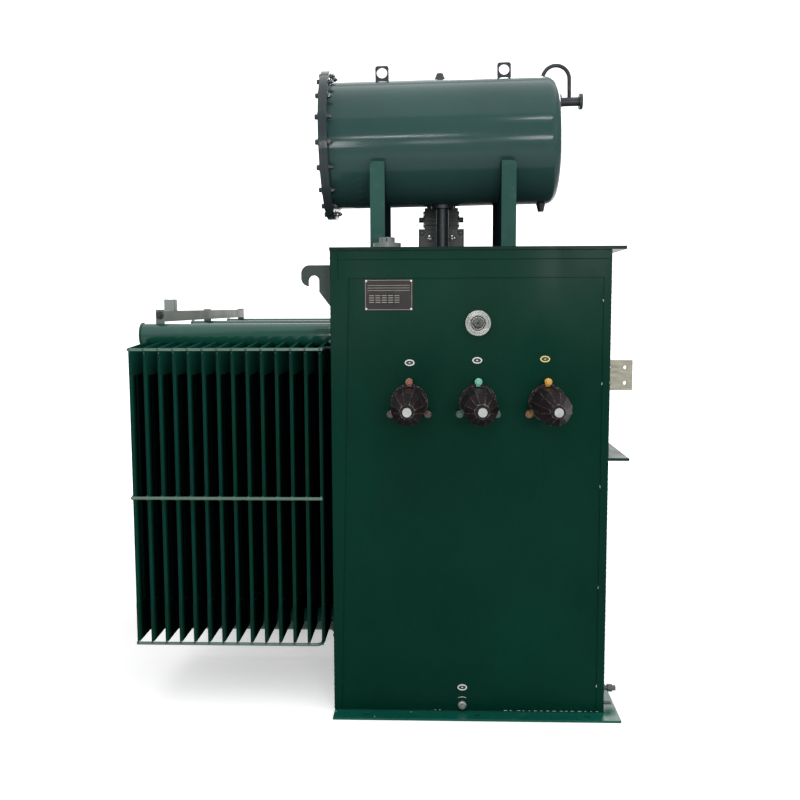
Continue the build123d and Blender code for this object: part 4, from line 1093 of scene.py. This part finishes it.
def seen_rays(nodes, links):
    """One for rays from the camera, a reflection or a glass, else zero."""
    path = nodes.new("ShaderNodeLightPath")
    seen = path.outputs["Is Camera Ray"]
    for name in ("Is Glossy Ray", "Is Transmission Ray"):
        seen = math_node(nodes, links, "MAXIMUM", seen, path.outputs[name])
    return seen


def outside_base(nodes, links):
    """One on the open floor and zero under the base plate."""
    place = position(nodes, links)
    middle, half = (BASE_LOW + BASE_HIGH) / 2, (BASE_HIGH - BASE_LOW) / 2
    past = []
    for index, axis in enumerate("XY"):
        offset = math_node(nodes, links, "SUBTRACT", place[axis], middle[index])
        reach = math_node(nodes, links, "ABSOLUTE", offset)
        past.append(math_node(nodes, links, "SUBTRACT", reach, half[index]))
    farther = math_node(nodes, links, "MAXIMUM", *past)
    return map_range(nodes, links, farther, -UNDER_BASE_EDGE, 0.0, 0.0, 1.0)


def floor_material():
    """Matt floor that keeps the shadow: pale, whiter further out, and a dark painted shadow under the base
    plate that shows through its bolt holes.
    """
    material, nodes, links, shader = new_material("studio_floor")
    cloud = noise(nodes, links, scale=0.6)
    pale = ramp(nodes, links, cloud, [(0.3, FLOOR_COLOURS[0]), (0.7, FLOOR_COLOURS[1])])
    clear = outside_base(nodes, links)
    links.new(mix_colour(nodes, links, clear, UNDER_BASE_SHADOW_COLOUR, pale), shader.inputs["Base Color"])
    shader.inputs["Roughness"].default_value = 0.9
    shader.inputs["Specular IOR Level"].default_value = 0.1
    geometry = nodes.new("ShaderNodeNewGeometry")
    distance = nodes.new("ShaderNodeVectorMath")
    distance.operation = "LENGTH"
    links.new(geometry.outputs["Position"], distance.inputs[0])
    spread = distance.outputs["Value"]
    glow = map_range(nodes, links, spread, GLOW_START, GLOW_END, FLOOR_GLOW_NEAR, FLOOR_GLOW_FAR)
    seen = math_node(nodes, links, "MULTIPLY", seen_rays(nodes, links), clear)
    links.new(math_node(nodes, links, "MULTIPLY", seen, glow), shader.inputs["Emission Strength"])
    shader.inputs["Emission Color"].default_value = (1, 1, 1, 1)
    return material


# Light and camera

# Name, place, target, width and height, power in watts
LAMPS = (
    ("overhead", (0.0, -1.0, 6.0), (0, 0, 0.8), (8.0, 7.0), 290),
    ("key", (-4.5, -5.5, 4.2), (-0.2, -0.8, 1.2), (5.0, 5.0), 110),
    ("fill", (4.5, -5.0, 3.0), (0.1, -0.8, 1.0), (4.0, 4.0), 62),
    ("front_box", (1.22, -6.0, 1.87), (0.35, -1.05, 1.6), (1.1, 0.40), 50),
    ("front_strip", (-0.95, -6.0, 1.62), (-0.45, -1.05, 1.5), (0.14, 0.90), 20),
    ("front_spot", (-0.1, -6.0, 1.62), (-0.1, -1.05, 1.55), (0.45, 0.45), 9),
    ("rear", (2.0, 5.5, 4.5), (0, 0.5, 1.2), (4.0, 3.0), 260),
    ("tube_left", (-0.42, -5.8, 2.63), (-0.3, -0.9, 2.12), (0.9, 0.10), 22),
    ("tube_right", (0.78, -4.6, 4.49), (0.25, -0.8, 2.2), (0.40, 0.10), 12),
)
WORLD_LIGHT = 0.35


def area_light(name, place, target, size, power):
    """Soft rectangular lamp aimed at a point, left out of the camera's own view."""
    lamp = bpy.data.lights.new(name, "AREA")
    lamp.shape = "RECTANGLE"
    lamp.size, lamp.size_y = size
    lamp.energy = power
    holder = bpy.data.objects.new(name, lamp)
    holder.location = place
    holder.rotation_euler = (Vector(target) - Vector(place)).to_track_quat("-Z", "Y").to_euler()
    holder.visible_camera = False
    bpy.context.scene.collection.objects.link(holder)


def lights():
    """Even studio light: broad soft boxes all round, and small lamps that show on the wall and the shell."""
    for lamp in LAMPS:
        area_light(*lamp)
    world = bpy.data.worlds.new("studio_world")
    bpy.context.scene.world = world
    world.use_nodes = True
    nodes, links = world.node_tree.nodes, world.node_tree.links
    background = nodes["Background"]
    background.inputs["Color"].default_value = (1, 1, 1, 1)
    strength = map_range(nodes, links, seen_rays(nodes, links), 0.0, 1.0, WORLD_LIGHT, 1.0)
    links.new(strength, background.inputs["Strength"])


def camera():
    """Camera where the photograph was taken from."""
    lens = bpy.data.cameras.new("camera")
    lens.sensor_width = SENSOR_MM
    lens.lens = FOCAL_PIXELS / FRAME_PIXELS * SENSOR_MM
    holder = bpy.data.objects.new("camera", lens)
    holder.location = (CAMERA_SIDE, FRONT_Y - CAMERA_DISTANCE, CAMERA_HEIGHT)
    turn = Matrix.Rotation(CAMERA_YAW, 4, "Z") @ Matrix.Rotation(math.pi / 2 - CAMERA_PITCH, 4, "X")
    holder.rotation_euler = (turn @ Matrix.Rotation(CAMERA_ROLL, 4, "Z")).to_euler()
    bpy.context.scene.collection.objects.link(holder)
    bpy.context.scene.camera = holder


conservator_flange_shade()
clamp_shade()
dress_nodes()
oval_signs()
nameplate_rules()
wall_welds()
stitch_marks()
foot_beads()
rim_seam()
port_details()
earth_details()
conservator_details()
level_marks()
radiator_details()
beam_details()
pipe_flange_nuts()
relay_details()
relief_slot()
low_voltage_details()
stage()
lights()
camera()
bpy.context.scene.view_settings.view_transform = "Standard"
